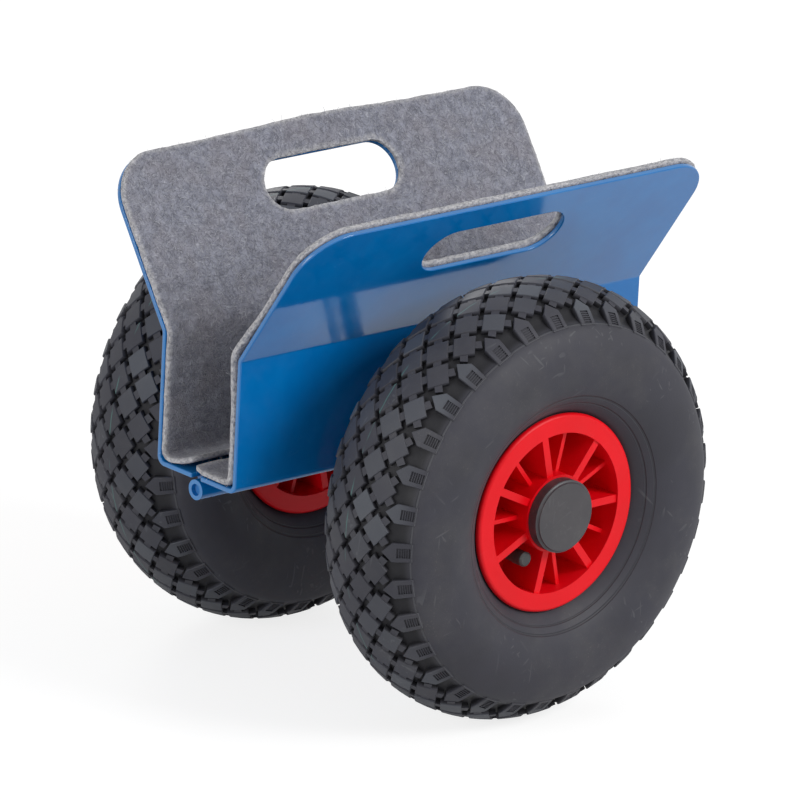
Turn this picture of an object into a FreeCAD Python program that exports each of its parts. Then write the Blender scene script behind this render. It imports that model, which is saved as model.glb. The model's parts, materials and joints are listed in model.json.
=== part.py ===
import FreeCAD, Part
import math
import operator
import os

import Sketcher
from FreeCAD import Placement, Rotation, Vector

# Self-clamping panel dolly. Two bent steel jaws lined with felt are hinged along the middle of the channel
# floor, and each carries a pneumatic wheel on a stub axle welded under its floor flange.
# +X runs along the channel, +Y along the axles towards the left jaw, +Z is up.
# The origin is on the ground, midway between the wheels.

# Driving dimensions, in millimetres and degrees, with one share
SIZES = {
    # Bent sheet jaws
    "plate_length": 306,
    "sheet_gauge": 3,
    "channel_width": 69,
    "flange_gap": 7.6,
    "wall_height": 79,
    "flare_length": 103,
    "flare_angle": 34,
    "bend_radius": 3,
    "corner_radius": 30,
    "slot_length": 103,
    "slot_width": 33,
    "slot_rise": 68,
    # Felt lining
    "felt_thickness": 4,
    "glue_gap": 0.2,
    "felt_outer_bend": 2.8,
    "felt_inner_bend": 1.5,
    "felt_slot_margin": 1,
    # Hinge under the floor
    "knuckle_count": 5,
    "knuckle_diameter": 12,
    "knuckle_play": 0.4,
    "weld_leg": 6,
    "weld_inset": 8,
    "hinge_pin_diameter": 7,
    "hinge_pin_recess": 3,
    "running_clearance": 0.05,
    # Stub axles and what holds the wheels on them
    "wheel_spacing": 208,
    "axle_diameter": 20,
    "axle_flat": 0.5,
    "axle_flat_margin": 1.5,
    "axle_root": 10.5,
    "axle_overhang": 6.5,
    "axle_chamfer": 1.5,
    "collar_diameter": 32,
    "collar_width": 5,
    "press_clearance": 0.02,
    "washer_diameter": 31,
    "washer_thickness": 2,
    "washer_clearance": 0.25,
    "side_play": 0.3,
    "split_pin_diameter": 3.2,
    "split_pin_length": 25.5,
    "split_pin_stand": 0.8,
    "split_pin_eye": 1.9,
    "split_pin_clearance": 0.15,
    # Tyre and inner tube
    "wheel_diameter": 260,
    "tyre_width": 89,
    "belly_share": 0.482,
    "crown_radius": 47.5,
    "crown_width": 60,
    "crown_wall": 10,
    "cavity_crown_radius": 50,
    "cavity_crown_width": 44,
    "side_wall": 6.5,
    "bead_thickness": 6,
    "bead_height": 7.7,
    "bead_gap": 0.1,
    "tube_wall": 2,
    "tube_gap": 0.3,
    # Tread, with its distances across measured round the crown
    "tread_count": 33,
    "column_step": 10,
    "block_length": 20,
    "block_width": 16,
    "groove_depth": 3.6,
    "tread_edge_share": 0.76,
    "lug_width": 12.4,
    "lug_start": 24.4,
    "lug_margin": 0.6,
    # Moulded rim
    "bead_radius": 50.8,
    "barrel_wall": 3.2,
    "rim_width": 66.4,
    "rim_lip": 4.5,
    "flange_radius": 58.8,
    "web_thickness": 6,
    "hub_diameter": 46,
    "hub_inner_reach": 35,
    "hub_outer_reach": 33.5,
    "hub_recess_depth": 8,
    "hub_recess_radius": 18.5,
    "spoke_count": 7,
    "spoke_width": 4.5,
    "spoke_recess": 1.2,
    "rib_width": 2.5,
    "rib_recess": 7,
    # Bearing bushes and hub cap
    "bush_wall": 4,
    "bush_length": 26,
    "bush_flange": 2,
    "bush_flange_radius": 16,
    "cap_diameter": 43,
    "cap_height": 7.7,
    "cap_wall": 1.8,
    "cap_edge_radius": 1.6,
    "cap_plug": 5,
    "cap_clearance": 0.05,
    # Tyre valve
    "valve_diameter": 8,
    "valve_seat": 8,
    "valve_depth": 16,
    "valve_elbow": 6,
    "valve_reach": 9,
    "valve_clearance": 0.25,
    "valve_cap_diameter": 8.8,
    "valve_cap_length": 8.5,
    "valve_cap_chamfer": 1,
}

SIDES = {"left": 1, "right": -1}
OPERATIONS = {"+": operator.add, "-": operator.sub, "*": operator.mul, "/": operator.truediv}
QUARTER_TURN = 90
HALF_TURN = 180
FULL_TURN = 360
# Corners of a knuckle's weld bead inside its tube wall, in tube radii
WELD_TOP = (0.55, 0.65)
WELD_FOOT = (0.85, 0.15)


class Size:
    """A size with its value and the formula that ties it to the sheet."""

    def __init__(self, value, formula):
        self.value = value
        self.formula = formula

    def __add__(self, other):
        return combine(self, "+", other)

    def __sub__(self, other):
        return combine(self, "-", other)

    def __mul__(self, other):
        return combine(self, "*", other)

    def __truediv__(self, other):
        return combine(self, "/", other)

    def __neg__(self):
        return combine(0, "-", self)


def value_of(size):
    return size.value if isinstance(size, Size) else float(size)


def formula_of(size):
    return size.formula if isinstance(size, Size) else str(size)


def combine(first, sign, second):
    value = OPERATIONS[sign](value_of(first), value_of(second))
    return Size(value, f"({formula_of(first)} {sign} {formula_of(second)})")


def trig(name, angle):
    """Sine, cosine or tangent of an angle in degrees."""
    value = getattr(math, name)(math.radians(angle.value))
    return Size(value, f"{name}({angle.formula} * 1 deg)")


def root(size):
    return Size(math.sqrt(size.value), f"sqrt({size.formula})")


doc = FreeCAD.newDocument("panel_dolly")
sheet = doc.addObject("Spreadsheet::Sheet", "Sizes")
for row, (alias, number) in enumerate(SIZES.items(), start=1):
    sheet.set(f"A{row}", alias)
    sheet.set(f"B{row}", str(number))
    sheet.setAlias(f"B{row}", alias)
doc.recompute()


def size(alias):
    return Size(float(sheet.get(alias)), f"Sizes.{alias}")


ZERO = Size(0.0, "0")

# Heights and radii that several pieces share
axle_radius = size("axle_diameter") / 2
axle_height = size("wheel_diameter") / 2
floor_height = axle_height + axle_radius - size("axle_flat")
knuckle_radius = size("knuckle_diameter") / 2
hinge_height = floor_height - knuckle_radius
half_length = size("plate_length") / 2
half_spacing = size("wheel_spacing") / 2
hub_radius = size("hub_diameter") / 2
rim_half = size("rim_width") / 2
bead_half = rim_half - size("rim_lip") - size("bead_gap")
barrel_radius = size("bead_radius") - size("barrel_wall")
bush_bore = axle_radius + size("running_clearance")
bush_radius = bush_bore + size("bush_wall")
hub_bore = bush_radius + size("press_clearance")
hub_seat = size("hub_outer_reach") - size("hub_recess_depth")
spoke_pitch = Size(FULL_TURN, str(FULL_TURN)) / size("spoke_count")
outer_washer_face = hub_seat + size("bush_flange") + size("side_play")
inner_washer_face = size("hub_inner_reach") + size("bush_flange") + size("side_play")
# Radius at which the tyre is widest, as a share of the way from its bead to its crown
belly_height = size("bead_radius") + (axle_height - size("bead_radius")) * size("belly_share")


def bind(item, prop, amount):
    item.setExpression(prop, formula_of(amount))


def new_body(label):
    body = doc.addObject("PartDesign::Body", label)
    body.Label = label
    return body


def origin_item(body, role):
    return next(item for item in body.Origin.OriginFeatures if item.Role == role)


def place(piece, side, out, up, turn=None):
    """Set a piece that was drawn with +Y outward on its own side; the right-hand one is turned half round."""
    facing = Rotation(Vector(0, 0, 1), 0 if side > 0 else HALF_TURN)
    if turn is not None:
        facing = facing * turn
    piece.Placement = Placement(Vector(0, side * value_of(out), value_of(up)), facing)
    bind(piece, "Placement.Base.y", out * side)
    bind(piece, "Placement.Base.z", up)


def new_sketch(body, role, name, base=None, turn=None):
    sketch = body.newObject("Sketcher::SketchObject", name)
    sketch.AttachmentSupport = [(origin_item(body, role), "")]
    sketch.MapMode = "FlatFace"
    if base is None:
        return sketch
    axis, angle = turn or (Vector(0, 0, 1), ZERO)
    corner = Vector(*[value_of(part) for part in base])
    sketch.AttachmentOffset = Placement(corner, Rotation(axis, angle.value))
    for letter, part in zip("xyz", base):
        bind(sketch, f"AttachmentOffset.Base.{letter}", part)
    return sketch


def constrain(sketch, kind, *place_and_size):
    """Add a constraint whose last item is its size."""
    *where, amount = place_and_size
    index = sketch.addConstraint(Sketcher.Constraint(kind, *where, value_of(amount)))
    bind(sketch, f"Constraints[{index}]", amount)


def arc_between(start, end, radius):
    """Arc from start to end; a positive radius turns to the left."""
    chord = end - start
    height = math.sqrt(max(radius * radius - chord.Length ** 2 / 4, 0))
    left = Vector(-chord.y, chord.x, 0).normalize()
    centre = (start + end) / 2 + left * math.copysign(height, radius)
    first, last = (start, end) if radius > 0 else (end, start)
    angles = [math.atan2(point.y - centre.y, point.x - centre.x) for point in (first, last)]
    if angles[1] < angles[0]:
        angles[1] += math.tau
    return Part.ArcOfCircle(Part.Circle(centre, Vector(0, 0, 1), abs(radius)), *angles)


def draw(sketch, corners):
    """Closed outline through corners (across, up), with the radius of the arc that arrives there, if any."""
    points = [Vector(value_of(corner[0]), value_of(corner[1]), 0) for corner in corners]
    starts, ends = [], []
    for index, start in enumerate(points):
        following = (index + 1) % len(points)
        end = points[following]
        if len(corners[following]) == 2:
            line = sketch.addGeometry(Part.LineSegment(start, end), False)
            starts.append((line, 1))
            ends.append((line, 2))
            continue
        radius = corners[following][2]
        leftward = value_of(radius) > 0
        arc = sketch.addGeometry(arc_between(start, end, value_of(radius)), False)
        starts.append((arc, 1 if leftward else 2))
        ends.append((arc, 2 if leftward else 1))
        constrain(sketch, "Radius", arc, radius if leftward else -radius)
    for corner, start, end in zip(corners, starts, ends[-1:] + ends[:-1]):
        sketch.addConstraint(Sketcher.Constraint("Coincident", *end, *start))
        constrain(sketch, "DistanceX", -1, 1, *start, corner[0])
        constrain(sketch, "DistanceY", -1, 1, *start, corner[1])


def draw_circle(sketch, across, up, radius):
    centre = Vector(value_of(across), value_of(up), 0)
    circle = sketch.addGeometry(Part.Circle(centre, Vector(0, 0, 1), value_of(radius)), False)
    constrain(sketch, "Radius", circle, radius)
    constrain(sketch, "DistanceX", -1, 1, circle, 3, across)
    constrain(sketch, "DistanceY", -1, 1, circle, 3, up)


def revolved(body, outlines, kind="Revolution", name="turned"):
    """Turn outlines of (along the axle, radius) corners round the axle, to add or to cut."""
    sketch = new_sketch(body, "YZ_Plane", f"{body.Label}_{name}_section")
    for corners in outlines:
        draw(sketch, corners)
    turned = body.newObject(f"PartDesign::{kind}", f"{body.Label}_{name}")
    turned.Profile = sketch
    turned.ReferenceAxis = (sketch, ["H_Axis"])
    turned.Angle = FULL_TURN
    return turned


def extruded(body, kind, sketch, length, name):
    """Pad or pocket a sketch by half the length to each side of its plane."""
    feature = body.newObject(f"PartDesign::{kind}", f"{body.Label}_{name}")
    feature.Profile = sketch
    feature.SideType = "Symmetric"
    bind(feature, "Length", length)
    return feature


def patterned(body, features, count, angle, name):
    """Repeat features round the axle."""
    pattern = body.newObject("PartDesign::PolarPattern", f"{body.Label}_{name}")
    pattern.Originals = features
    pattern.Axis = (origin_item(body, "Y_Axis"), [""])
    pattern.Reversed = True
    bind(pattern, "Occurrences", count)
    bind(pattern, "Angle", angle)
    body.Tip = pattern
    return pattern


def edge_between(shape, first, second):
    """Name of the edge that joins two points."""
    reach = 1e-3
    for number, edge in enumerate(shape.Edges, start=1):
        ends = [vertex.Point for vertex in edge.Vertexes]
        if len(ends) != 2:
            continue
        for start, end in (ends, ends[::-1]):
            if start.distanceToPoint(first) < reach and end.distanceToPoint(second) < reach:
                return f"Edge{number}"
    raise ValueError("the outline has no such edge")


def rounded(body, base, lines, radius, name):
    """Round the edges of a feature that join each pair of points."""
    doc.recompute()
    fillet = body.newObject("PartDesign::Fillet", f"{body.Label}_{name}")
    fillet.Base = (base, [edge_between(base.Shape, *line) for line in lines])
    bind(fillet, "Radius", radius)
    body.Tip = fillet
    return fillet


def jaw_line(depth):
    """Bends of a jaw's cross-section, from the hinge to the top edge, at a depth inside its outer face."""
    flare = size("flare_angle")
    wall = size("channel_width") / 2
    bend = size("wall_height")
    across = trig("sin", flare)
    upward = trig("cos", flare)
    top_out = wall + size("flare_length") * across - upward * depth
    top_up = bend + size("flare_length") * upward + across * depth
    return [
        (size("flange_gap") / 2, depth),
        (wall - depth, depth),
        (wall - depth, bend + trig("tan", flare / 2) * depth),
        (top_out, top_up),
    ]


def jaw_layer(body, near, far, outer_bend, inner_bend, slot_margin):
    """One bent layer of a jaw between two depths, with rounded top corners and a hand slot."""
    outer, inner = jaw_line(near), jaw_line(far)
    section = new_sketch(body, "YZ_Plane", f"{body.Label}_section")
    draw(section, outer + inner[::-1])
    layer = extruded(body, "Pad", section, size("plate_length"), "bent")

    def along(corner):
        out, up = value_of(corner[0]), value_of(corner[1])
        return [Vector(side * half_length.value, out, up) for side in SIDES.values()]

    layer = rounded(body, layer, [along(outer[1]), along(inner[2])], outer_bend, "outer_bends")
    layer = rounded(body, layer, [along(inner[1]), along(outer[2])], inner_bend, "inner_bends")
    top_corners = list(zip(along(outer[3]), along(inner[3])))
    rounded(body, layer, top_corners, size("corner_radius"), "corners")

    flare = size("flare_angle")
    out = outer[2][0] + trig("sin", flare) * size("slot_rise")
    up = size("wall_height") + trig("cos", flare) * size("slot_rise")
    lean = Size(QUARTER_TURN, str(QUARTER_TURN)) - flare
    slot = new_sketch(body, "XY_Plane", f"{body.Label}_slot", (ZERO, out, up), (Vector(1, 0, 0), lean))
    radius = size("slot_width") / 2 + slot_margin
    straight = (size("slot_length") - size("slot_width")) / 2
    draw(slot, [
        (-straight, -radius, radius),
        (straight, -radius),
        (straight + radius, ZERO, radius),
        (straight, radius, radius),
        (-straight, radius),
        (-straight - radius, ZERO, radius),
    ])
    extruded(body, "Pocket", slot, (far + size("bend_radius")) * 4, "hand_slot")


def jaw_plate(name, side):
    body = new_body(f"{name}_jaw_plate")
    gauge, bend = size("sheet_gauge"), size("bend_radius")
    jaw_layer(body, ZERO, gauge, bend + gauge, bend, ZERO)
    place(body, side, ZERO, floor_height)
    return body


def felt_liner(name, side):
    """Felt glued to the inside of a jaw; its bends follow the sheet's."""
    body = new_body(f"{name}_felt_liner")
    near = size("sheet_gauge") + size("glue_gap")
    far = near + size("felt_thickness")
    jaw_layer(body, near, far, size("felt_outer_bend"), size("felt_inner_bend"), size("felt_slot_margin"))
    place(body, side, ZERO, floor_height)
    return body


def hinge_knuckle(number, side):
    """Short tube on the hinge line with the weld bead that holds it under its own flange."""
    body = new_body(f"hinge_knuckle_{number + 1}")
    pitch = size("plate_length") / size("knuckle_count")
    length = pitch - size("knuckle_play")
    ring = new_sketch(body, "YZ_Plane", f"{body.Label}_ring")
    draw_circle(ring, ZERO, ZERO, knuckle_radius)
    draw_circle(ring, ZERO, ZERO, size("hinge_pin_diameter") / 2 + size("running_clearance"))
    extruded(body, "Pad", ring, length, "tube")
    weld = new_sketch(body, "YZ_Plane", f"{body.Label}_weld")
    draw(weld, [
        (knuckle_radius * WELD_TOP[0], knuckle_radius * WELD_TOP[1]),
        (knuckle_radius * WELD_FOOT[0], knuckle_radius * WELD_FOOT[1]),
        (size("flange_gap") / 2 + size("weld_leg"), knuckle_radius),
        (knuckle_radius * WELD_TOP[0], knuckle_radius),
    ])
    extruded(body, "Pad", weld, length - size("weld_inset") * 2, "bead")
    place(body, side, ZERO, hinge_height)
    along = pitch * (number + 0.5) - half_length
    body.Placement.Base.x = along.value
    bind(body, "Placement.Base.x", along)
    return body


def rod_along_x(label, radius, start, length, out, up, side=1):
    """Plain round rod that runs along +X from its start."""
    rod = doc.addObject("Part::Cylinder", label)
    rod.Label = label
    bind(rod, "Radius", radius)
    bind(rod, "Height", length)
    rod.Placement = Placement(Vector(), Rotation(Vector(0, 1, 0), QUARTER_TURN))
    bind(rod, "Placement.Base.x", start)
    bind(rod, "Placement.Base.y", out * side)
    bind(rod, "Placement.Base.z", up)
    return rod


def hinge_pin():
    start = size("hinge_pin_recess") - half_length
    return rod_along_x("hinge_pin", size("hinge_pin_diameter") / 2, start, -start * 2, ZERO, hinge_height)


def split_pin_place():
    """Distance of the split pin from the wheel's middle plane."""
    hole = size("split_pin_diameter") / 2 + size("split_pin_clearance")
    return outer_washer_face + size("washer_thickness") + hole + size("side_play")


def stub_axle(name, side):
    """Round bar with a flat that is welded under the floor flange, and a hole for the split pin."""
    body = new_body(f"{name}_axle")
    start = size("axle_root") - half_spacing
    end = outer_washer_face + size("washer_thickness") + size("axle_overhang")
    chamfer = size("axle_chamfer")
    revolved(body, [[
        (start, ZERO),
        (end, ZERO),
        (end, axle_radius - chamfer),
        (end - chamfer, axle_radius),
        (start, axle_radius),
    ]])
    flat = new_sketch(body, "YZ_Plane", f"{body.Label}_flat_outline")
    flat_height = axle_radius - size("axle_flat")
    flat_end = size("channel_width") / 2 + size("axle_flat_margin") - half_spacing
    draw(flat, [
        (start - chamfer, flat_height),
        (flat_end, flat_height),
        (flat_end, axle_radius + chamfer),
        (start - chamfer, axle_radius + chamfer),
    ])
    extruded(body, "Pocket", flat, size("axle_diameter") * 2, "flat")
    hole = new_sketch(body, "YZ_Plane", f"{body.Label}_hole_outline")
    draw_circle(hole, split_pin_place(), ZERO, size("split_pin_diameter") / 2 + size("split_pin_clearance"))
    extruded(body, "Pocket", hole, size("axle_diameter") * 2, "split_pin_hole")
    place(body, side, half_spacing, axle_height)
    return body


def ring_on_axle(label, side, near, thickness, radius, clearance):
    """Flat ring round the axle, from a distance out of the wheel's middle plane."""
    body = new_body(label)
    bore = axle_radius + clearance
    far = near + thickness
    revolved(body, [[(near, bore), (far, bore), (far, radius), (near, radius)]])
    place(body, side, half_spacing, axle_height)
    return body


def axle_rings(name, side):
    """Welded collar, then a washer on each side of the hub."""
    washer, washer_radius = size("washer_thickness"), size("washer_diameter") / 2
    loose = size("washer_clearance")
    inner = -inner_washer_face - washer
    collar = inner - size("collar_width")
    collar_radius = size("collar_diameter") / 2
    return [
        ring_on_axle(f"{name}_axle_collar", side, collar, size("collar_width"), collar_radius,
                     size("press_clearance")),
        ring_on_axle(f"{name}_inner_washer", side, inner, washer, washer_radius, loose),
        ring_on_axle(f"{name}_outer_washer", side, outer_washer_face, washer, washer_radius, loose),
    ]


def split_pin(name, side):
    """Split pin through the axle end: a straight leg with an eye against the axle."""
    radius = size("split_pin_diameter") / 2
    out = half_spacing + split_pin_place()
    start = -axle_radius - size("split_pin_stand")
    leg = rod_along_x(
        f"{name}_split_pin_leg", radius, start, size("split_pin_length"), out, axle_height, side
    )
    eye = doc.addObject("Part::Torus", f"{name}_split_pin_eye")
    eye.Placement = Placement(Vector(), Rotation(Vector(1, 0, 0), QUARTER_TURN))
    bind(eye, "Radius1", size("split_pin_eye"))
    bind(eye, "Radius2", size("split_pin_eye") / 2)
    bind(eye, "Placement.Base.x", start - size("split_pin_eye"))
    bind(eye, "Placement.Base.y", out * side)
    bind(eye, "Placement.Base.z", axle_height)
    pin = doc.addObject("Part::Fuse", f"{name}_split_pin")
    pin.Label = f"{name}_split_pin"
    pin.Base = leg
    pin.Tool = eye
    return pin


def sweep_radius(across, up):
    """Radius of an arc that starts upright at the tyre's widest place and ends this far across and up."""
    return (across * across + up * up) / (across * 2)


def tyre_cavity(inset):
    """Inside of the tyre at an inset from its wall, from one bead over the crown to the other."""
    belly = size("tyre_width") / 2 - size("side_wall") - inset
    crown = size("cavity_crown_radius") - inset
    shoulder = size("cavity_crown_width") / 2
    crown_top = size("wheel_diameter") / 2 - size("crown_wall") - inset
    shoulder_up = crown_top - crown + root(crown * crown - shoulder * shoulder)
    bead = bead_half - size("bead_thickness") - inset
    bead_up = size("bead_radius") + size("bead_height")
    lower = sweep_radius(belly - bead, belly_height - bead_up)
    upper = sweep_radius(belly - shoulder, shoulder_up - belly_height)
    return [
        (-bead, bead_up),
        (-belly, belly_height, -lower),
        (-shoulder, shoulder_up, -upper),
        (shoulder, shoulder_up, -crown),
        (belly, belly_height, -upper),
        (bead, bead_up, -lower),
    ]


def across_crown(distance):
    """Distance from the wheel's middle plane of a place this far round the crown's curve."""
    turn = distance / size("crown_radius") * (HALF_TURN / math.pi)
    return trig("sin", turn) * size("crown_radius")


def tread_blocks(body, edge, edge_up):
    """Staggered diamond blocks over the crown, and house-shaped lugs that run down to the tread's edge."""
    half_length, half_width = size("block_length") / 2, size("block_width") / 2
    pitch = Size(FULL_TURN, str(FULL_TURN)) / size("tread_count")
    middle = (axle_height + edge_up) / 2
    height = axle_height - edge_up + size("groove_depth") * 2
    lug_half, lug_end = size("lug_width") / 2, edge - size("lug_margin")
    downward = Size(HALF_TURN, str(HALF_TURN))
    pads = []
    for label, turn, columns in (("even", downward, (-2, 0, 2)), ("odd", downward + pitch / 2, (-1, 1))):
        base = (trig("sin", turn) * middle, ZERO, trig("cos", turn) * middle)
        sketch = new_sketch(body, "XY_Plane", f"{body.Label}_{label}_outline", base, (Vector(0, 1, 0), turn))
        for column in columns:
            across = size("column_step") * column
            draw(sketch, [
                (half_length, across_crown(across)),
                (ZERO, across_crown(across + half_width)),
                (-half_length, across_crown(across)),
                (ZERO, across_crown(across - half_width)),
            ])
        if label == "odd":
            apex = across_crown(size("lug_start"))
            eaves = across_crown(size("lug_start") + lug_half)
            for face in SIDES.values():
                draw(sketch, [
                    (ZERO, apex * face),
                    (lug_half, eaves * face),
                    (lug_half, lug_end * face),
                    (-lug_half, lug_end * face),
                    (-lug_half, eaves * face),
                ])
        pads.append(extruded(body, "Pad", sketch, height, f"{label}_blocks"))
    patterned(body, pads, size("tread_count"), Size(FULL_TURN, str(FULL_TURN)), "blocks_round")


def tyre(name):
    """Pneumatic tyre with its beads between the rim's flanges, and a block tread cut to the crown's curve."""
    body = new_body(f"{name}_tyre")
    foot = size("bead_radius") + size("bead_gap")
    bead_up = size("bead_radius") + size("bead_height")
    belly = size("tyre_width") / 2
    shoulder, crown = size("crown_width") / 2, size("crown_radius")
    crown_middle = axle_height - crown
    shoulder_rise = root(crown * crown - shoulder * shoulder)
    shoulder_up = crown_middle + shoulder_rise
    lower = sweep_radius(belly - bead_half, belly_height - bead_up)
    upper = sweep_radius(belly - shoulder, shoulder_up - belly_height)
    toe = bead_half - size("bead_thickness")
    edge_rise = (shoulder_up - belly_height) * size("tread_edge_share")
    edge = belly - upper + root(upper * upper - edge_rise * edge_rise)
    edge_up = belly_height + edge_rise
    floor = crown - size("groove_depth")
    floor_end, floor_up = shoulder * floor / crown, crown_middle + shoulder_rise * floor / crown
    revolved(body, [[
        (bead_half, foot),
        (bead_half, bead_up),
        (belly, belly_height, lower),
        (edge, edge_up, upper),
        (floor_end, floor_up),
        (-floor_end, floor_up, floor),
        (-edge, edge_up),
        (-belly, belly_height, upper),
        (-bead_half, bead_up, lower),
        (-bead_half, foot),
    ]])
    tread_blocks(body, edge, edge_up)
    cut_end = edge - size("lug_margin") / 2
    cut_reach = cut_end - belly + upper
    cut_up = belly_height + root(upper * upper - cut_reach * cut_reach)
    clear = axle_height + size("groove_depth") * 2
    over_tread = [
        (cut_end, cut_up),
        (shoulder, shoulder_up, upper),
        (-shoulder, shoulder_up, crown),
        (-cut_end, cut_up, upper),
        (-cut_end, clear),
        (cut_end, clear),
    ]
    hollow = [(-toe, barrel_radius)] + tyre_cavity(ZERO) + [(toe, barrel_radius)]
    revolved(body, [over_tread, hollow], "Groove", "cut")
    for feature in body.Group:
        adds = feature.isDerivedFrom("PartDesign::FeatureAddSub")
        repeats = feature.isDerivedFrom("PartDesign::Transformed")
        if adds or repeats:
            feature.Refine = False
    place(body, SIDES[name], half_spacing, axle_height)
    return body


def same_wheel_piece(label, original, side):
    """A copy of a finished wheel piece for the other side."""
    body = new_body(label)
    body.BaseFeature = original
    place(body, side, half_spacing, axle_height)
    return body


def inner_tube(name, side):
    """Hollow rubber tube that fills the tyre's cavity and rests on the rim's barrel."""
    body = new_body(f"{name}_inner_tube")
    outlines = []
    for inset in (size("tube_gap"), size("tube_gap") + size("tube_wall")):
        toe = bead_half - size("bead_thickness") - inset
        foot = size("bead_radius") + inset
        outlines.append([(-toe, foot)] + tyre_cavity(inset) + [(toe, foot)])
    revolved(body, outlines)
    place(body, side, half_spacing, axle_height)
    return body


def rim(name, side):
    """Moulded rim: flanged barrel, web and hub in one section, deep spokes and thin ribs between them."""
    body = new_body(f"{name}_rim")
    web, lip = size("web_thickness") / 2, size("rim_lip")
    lip_round = lip / 2
    lip_up = size("flange_radius") - lip_round
    seat = rim_half - lip
    inner_end, outer_end = -size("hub_inner_reach"), size("hub_outer_reach")
    recess = size("hub_recess_radius")
    revolved(body, [[
        (inner_end, hub_bore),
        (hub_seat, hub_bore),
        (hub_seat, recess),
        (outer_end, recess),
        (outer_end, hub_radius),
        (web, hub_radius),
        (web, barrel_radius),
        (rim_half, barrel_radius),
        (rim_half, lip_up),
        (rim_half - lip_round, size("flange_radius"), lip_round),
        (seat, lip_up, lip_round),
        (seat, size("bead_radius")),
        (-seat, size("bead_radius")),
        (-seat, lip_up),
        (-rim_half + lip_round, size("flange_radius"), lip_round),
        (-rim_half, lip_up, lip_round),
        (-rim_half, barrel_radius),
        (-web, barrel_radius),
        (-web, hub_radius),
        (inner_end, hub_radius),
    ]])
    root_radius = (hub_radius + recess) / 2
    tip_radius = (barrel_radius + size("bead_radius")) / 2
    blades = (
        (
            "spokes", size("spoke_width"), size("spoke_recess"), spoke_pitch / 2, size("spoke_count"),
            FULL_TURN,
        ),
        ("ribs", size("rib_width"), size("rib_recess"), ZERO, size("spoke_count") - 1,
         spoke_pitch * (size("spoke_count") - 2)),
    )
    for label, width, recessed, angle, count, spread in blades:
        blade = new_sketch(body, "XZ_Plane", f"{body.Label}_{label}_outline", (ZERO, ZERO, ZERO),
                           (Vector(0, 0, 1), angle))
        draw(blade, [
            (root_radius, -width / 2),
            (tip_radius, -width / 2),
            (tip_radius, width / 2),
            (root_radius, width / 2),
        ])
        first = extruded(body, "Pad", blade, (rim_half - recessed) * 2, label)
        patterned(body, [first], count, spread, f"{label}_round")
    facing = (Vector(0, 1, 0), valve_turn())
    hole = new_sketch(body, "XY_Plane", f"{body.Label}_valve_outline", valve_mouth(), facing)
    draw_circle(hole, ZERO, ZERO, size("valve_diameter") / 2 + size("valve_clearance"))
    extruded(body, "Pocket", hole, size("barrel_wall") * 2, "valve_hole")
    place(body, side, half_spacing, axle_height)
    return body


def valve_turn():
    """Turn about the axle from straight up to the gap in the ribs where the valve stands."""
    return Size(QUARTER_TURN, str(QUARTER_TURN)) + spoke_pitch


def valve_mouth():
    """Middle of the valve's hole through the barrel, from the wheel's centre."""
    middle = (barrel_radius + size("bead_radius")) / 2
    turn = valve_turn()
    return (trig("sin", turn) * middle, size("valve_seat"), trig("cos", turn) * middle)


def on_valve(body, side):
    """Set a piece that was drawn along +Z at its place on the wheel."""
    place(body, side, half_spacing, axle_height, Rotation(Vector(0, 1, 0), valve_turn().value))


def valve_stem(name, side):
    """Bent stem: in through the barrel, then round an elbow to point out of the wheel."""
    body = new_body(f"{name}_valve_stem")
    seat, elbow = size("valve_seat"), size("valve_elbow")
    top = size("bead_radius")
    low = barrel_radius - size("valve_depth")
    end = seat + elbow + size("valve_reach")
    ring = new_sketch(body, "XY_Plane", f"{body.Label}_ring", (ZERO, ZERO, top))
    draw_circle(ring, ZERO, seat, size("valve_diameter") / 2)
    path = new_sketch(body, "YZ_Plane", f"{body.Label}_path")
    points = [Vector(value_of(across), value_of(up), 0) for across, up in
              ((seat, top), (seat, low + elbow), (seat + elbow, low), (end, low))]
    first = path.addGeometry(Part.LineSegment(points[0], points[1]), False)
    bend = path.addGeometry(arc_between(points[1], points[2], elbow.value), False)
    last = path.addGeometry(Part.LineSegment(points[2], points[3]), False)
    path.addConstraint(Sketcher.Constraint("Coincident", first, 2, bend, 1))
    path.addConstraint(Sketcher.Constraint("Coincident", bend, 2, last, 1))
    for item, vertex, across, up in ((first, 1, seat, top), (first, 2, seat, low + elbow),
                                     (last, 1, seat + elbow, low), (last, 2, end, low)):
        constrain(path, "DistanceX", -1, 1, item, vertex, across)
        constrain(path, "DistanceY", -1, 1, item, vertex, up)
    constrain(path, "Radius", bend, elbow)
    stem = body.newObject("PartDesign::AdditivePipe", f"{body.Label}_bent")
    stem.Profile = ring
    stem.Spine = (path, ["Edge1", "Edge2", "Edge3"])
    on_valve(body, side)
    return body


def valve_cap(name, side):
    """Small closed cap on the end of the valve stem."""
    body = new_body(f"{name}_valve_cap")
    low = barrel_radius - size("valve_depth")
    start = size("valve_seat") + size("valve_elbow") + size("valve_reach")
    end = start + size("valve_cap_length")
    radius, chamfer = size("valve_cap_diameter") / 2, size("valve_cap_chamfer")
    sketch = new_sketch(body, "YZ_Plane", f"{body.Label}_section", (ZERO, low, ZERO))
    draw(sketch, [
        (start, ZERO),
        (end, ZERO),
        (end, radius - chamfer),
        (end - chamfer, radius),
        (start, radius),
    ])
    turned = body.newObject("PartDesign::Revolution", f"{body.Label}_turned")
    turned.Profile = sketch
    turned.ReferenceAxis = (sketch, ["H_Axis"])
    turned.Angle = FULL_TURN
    on_valve(body, side)
    return body


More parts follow.
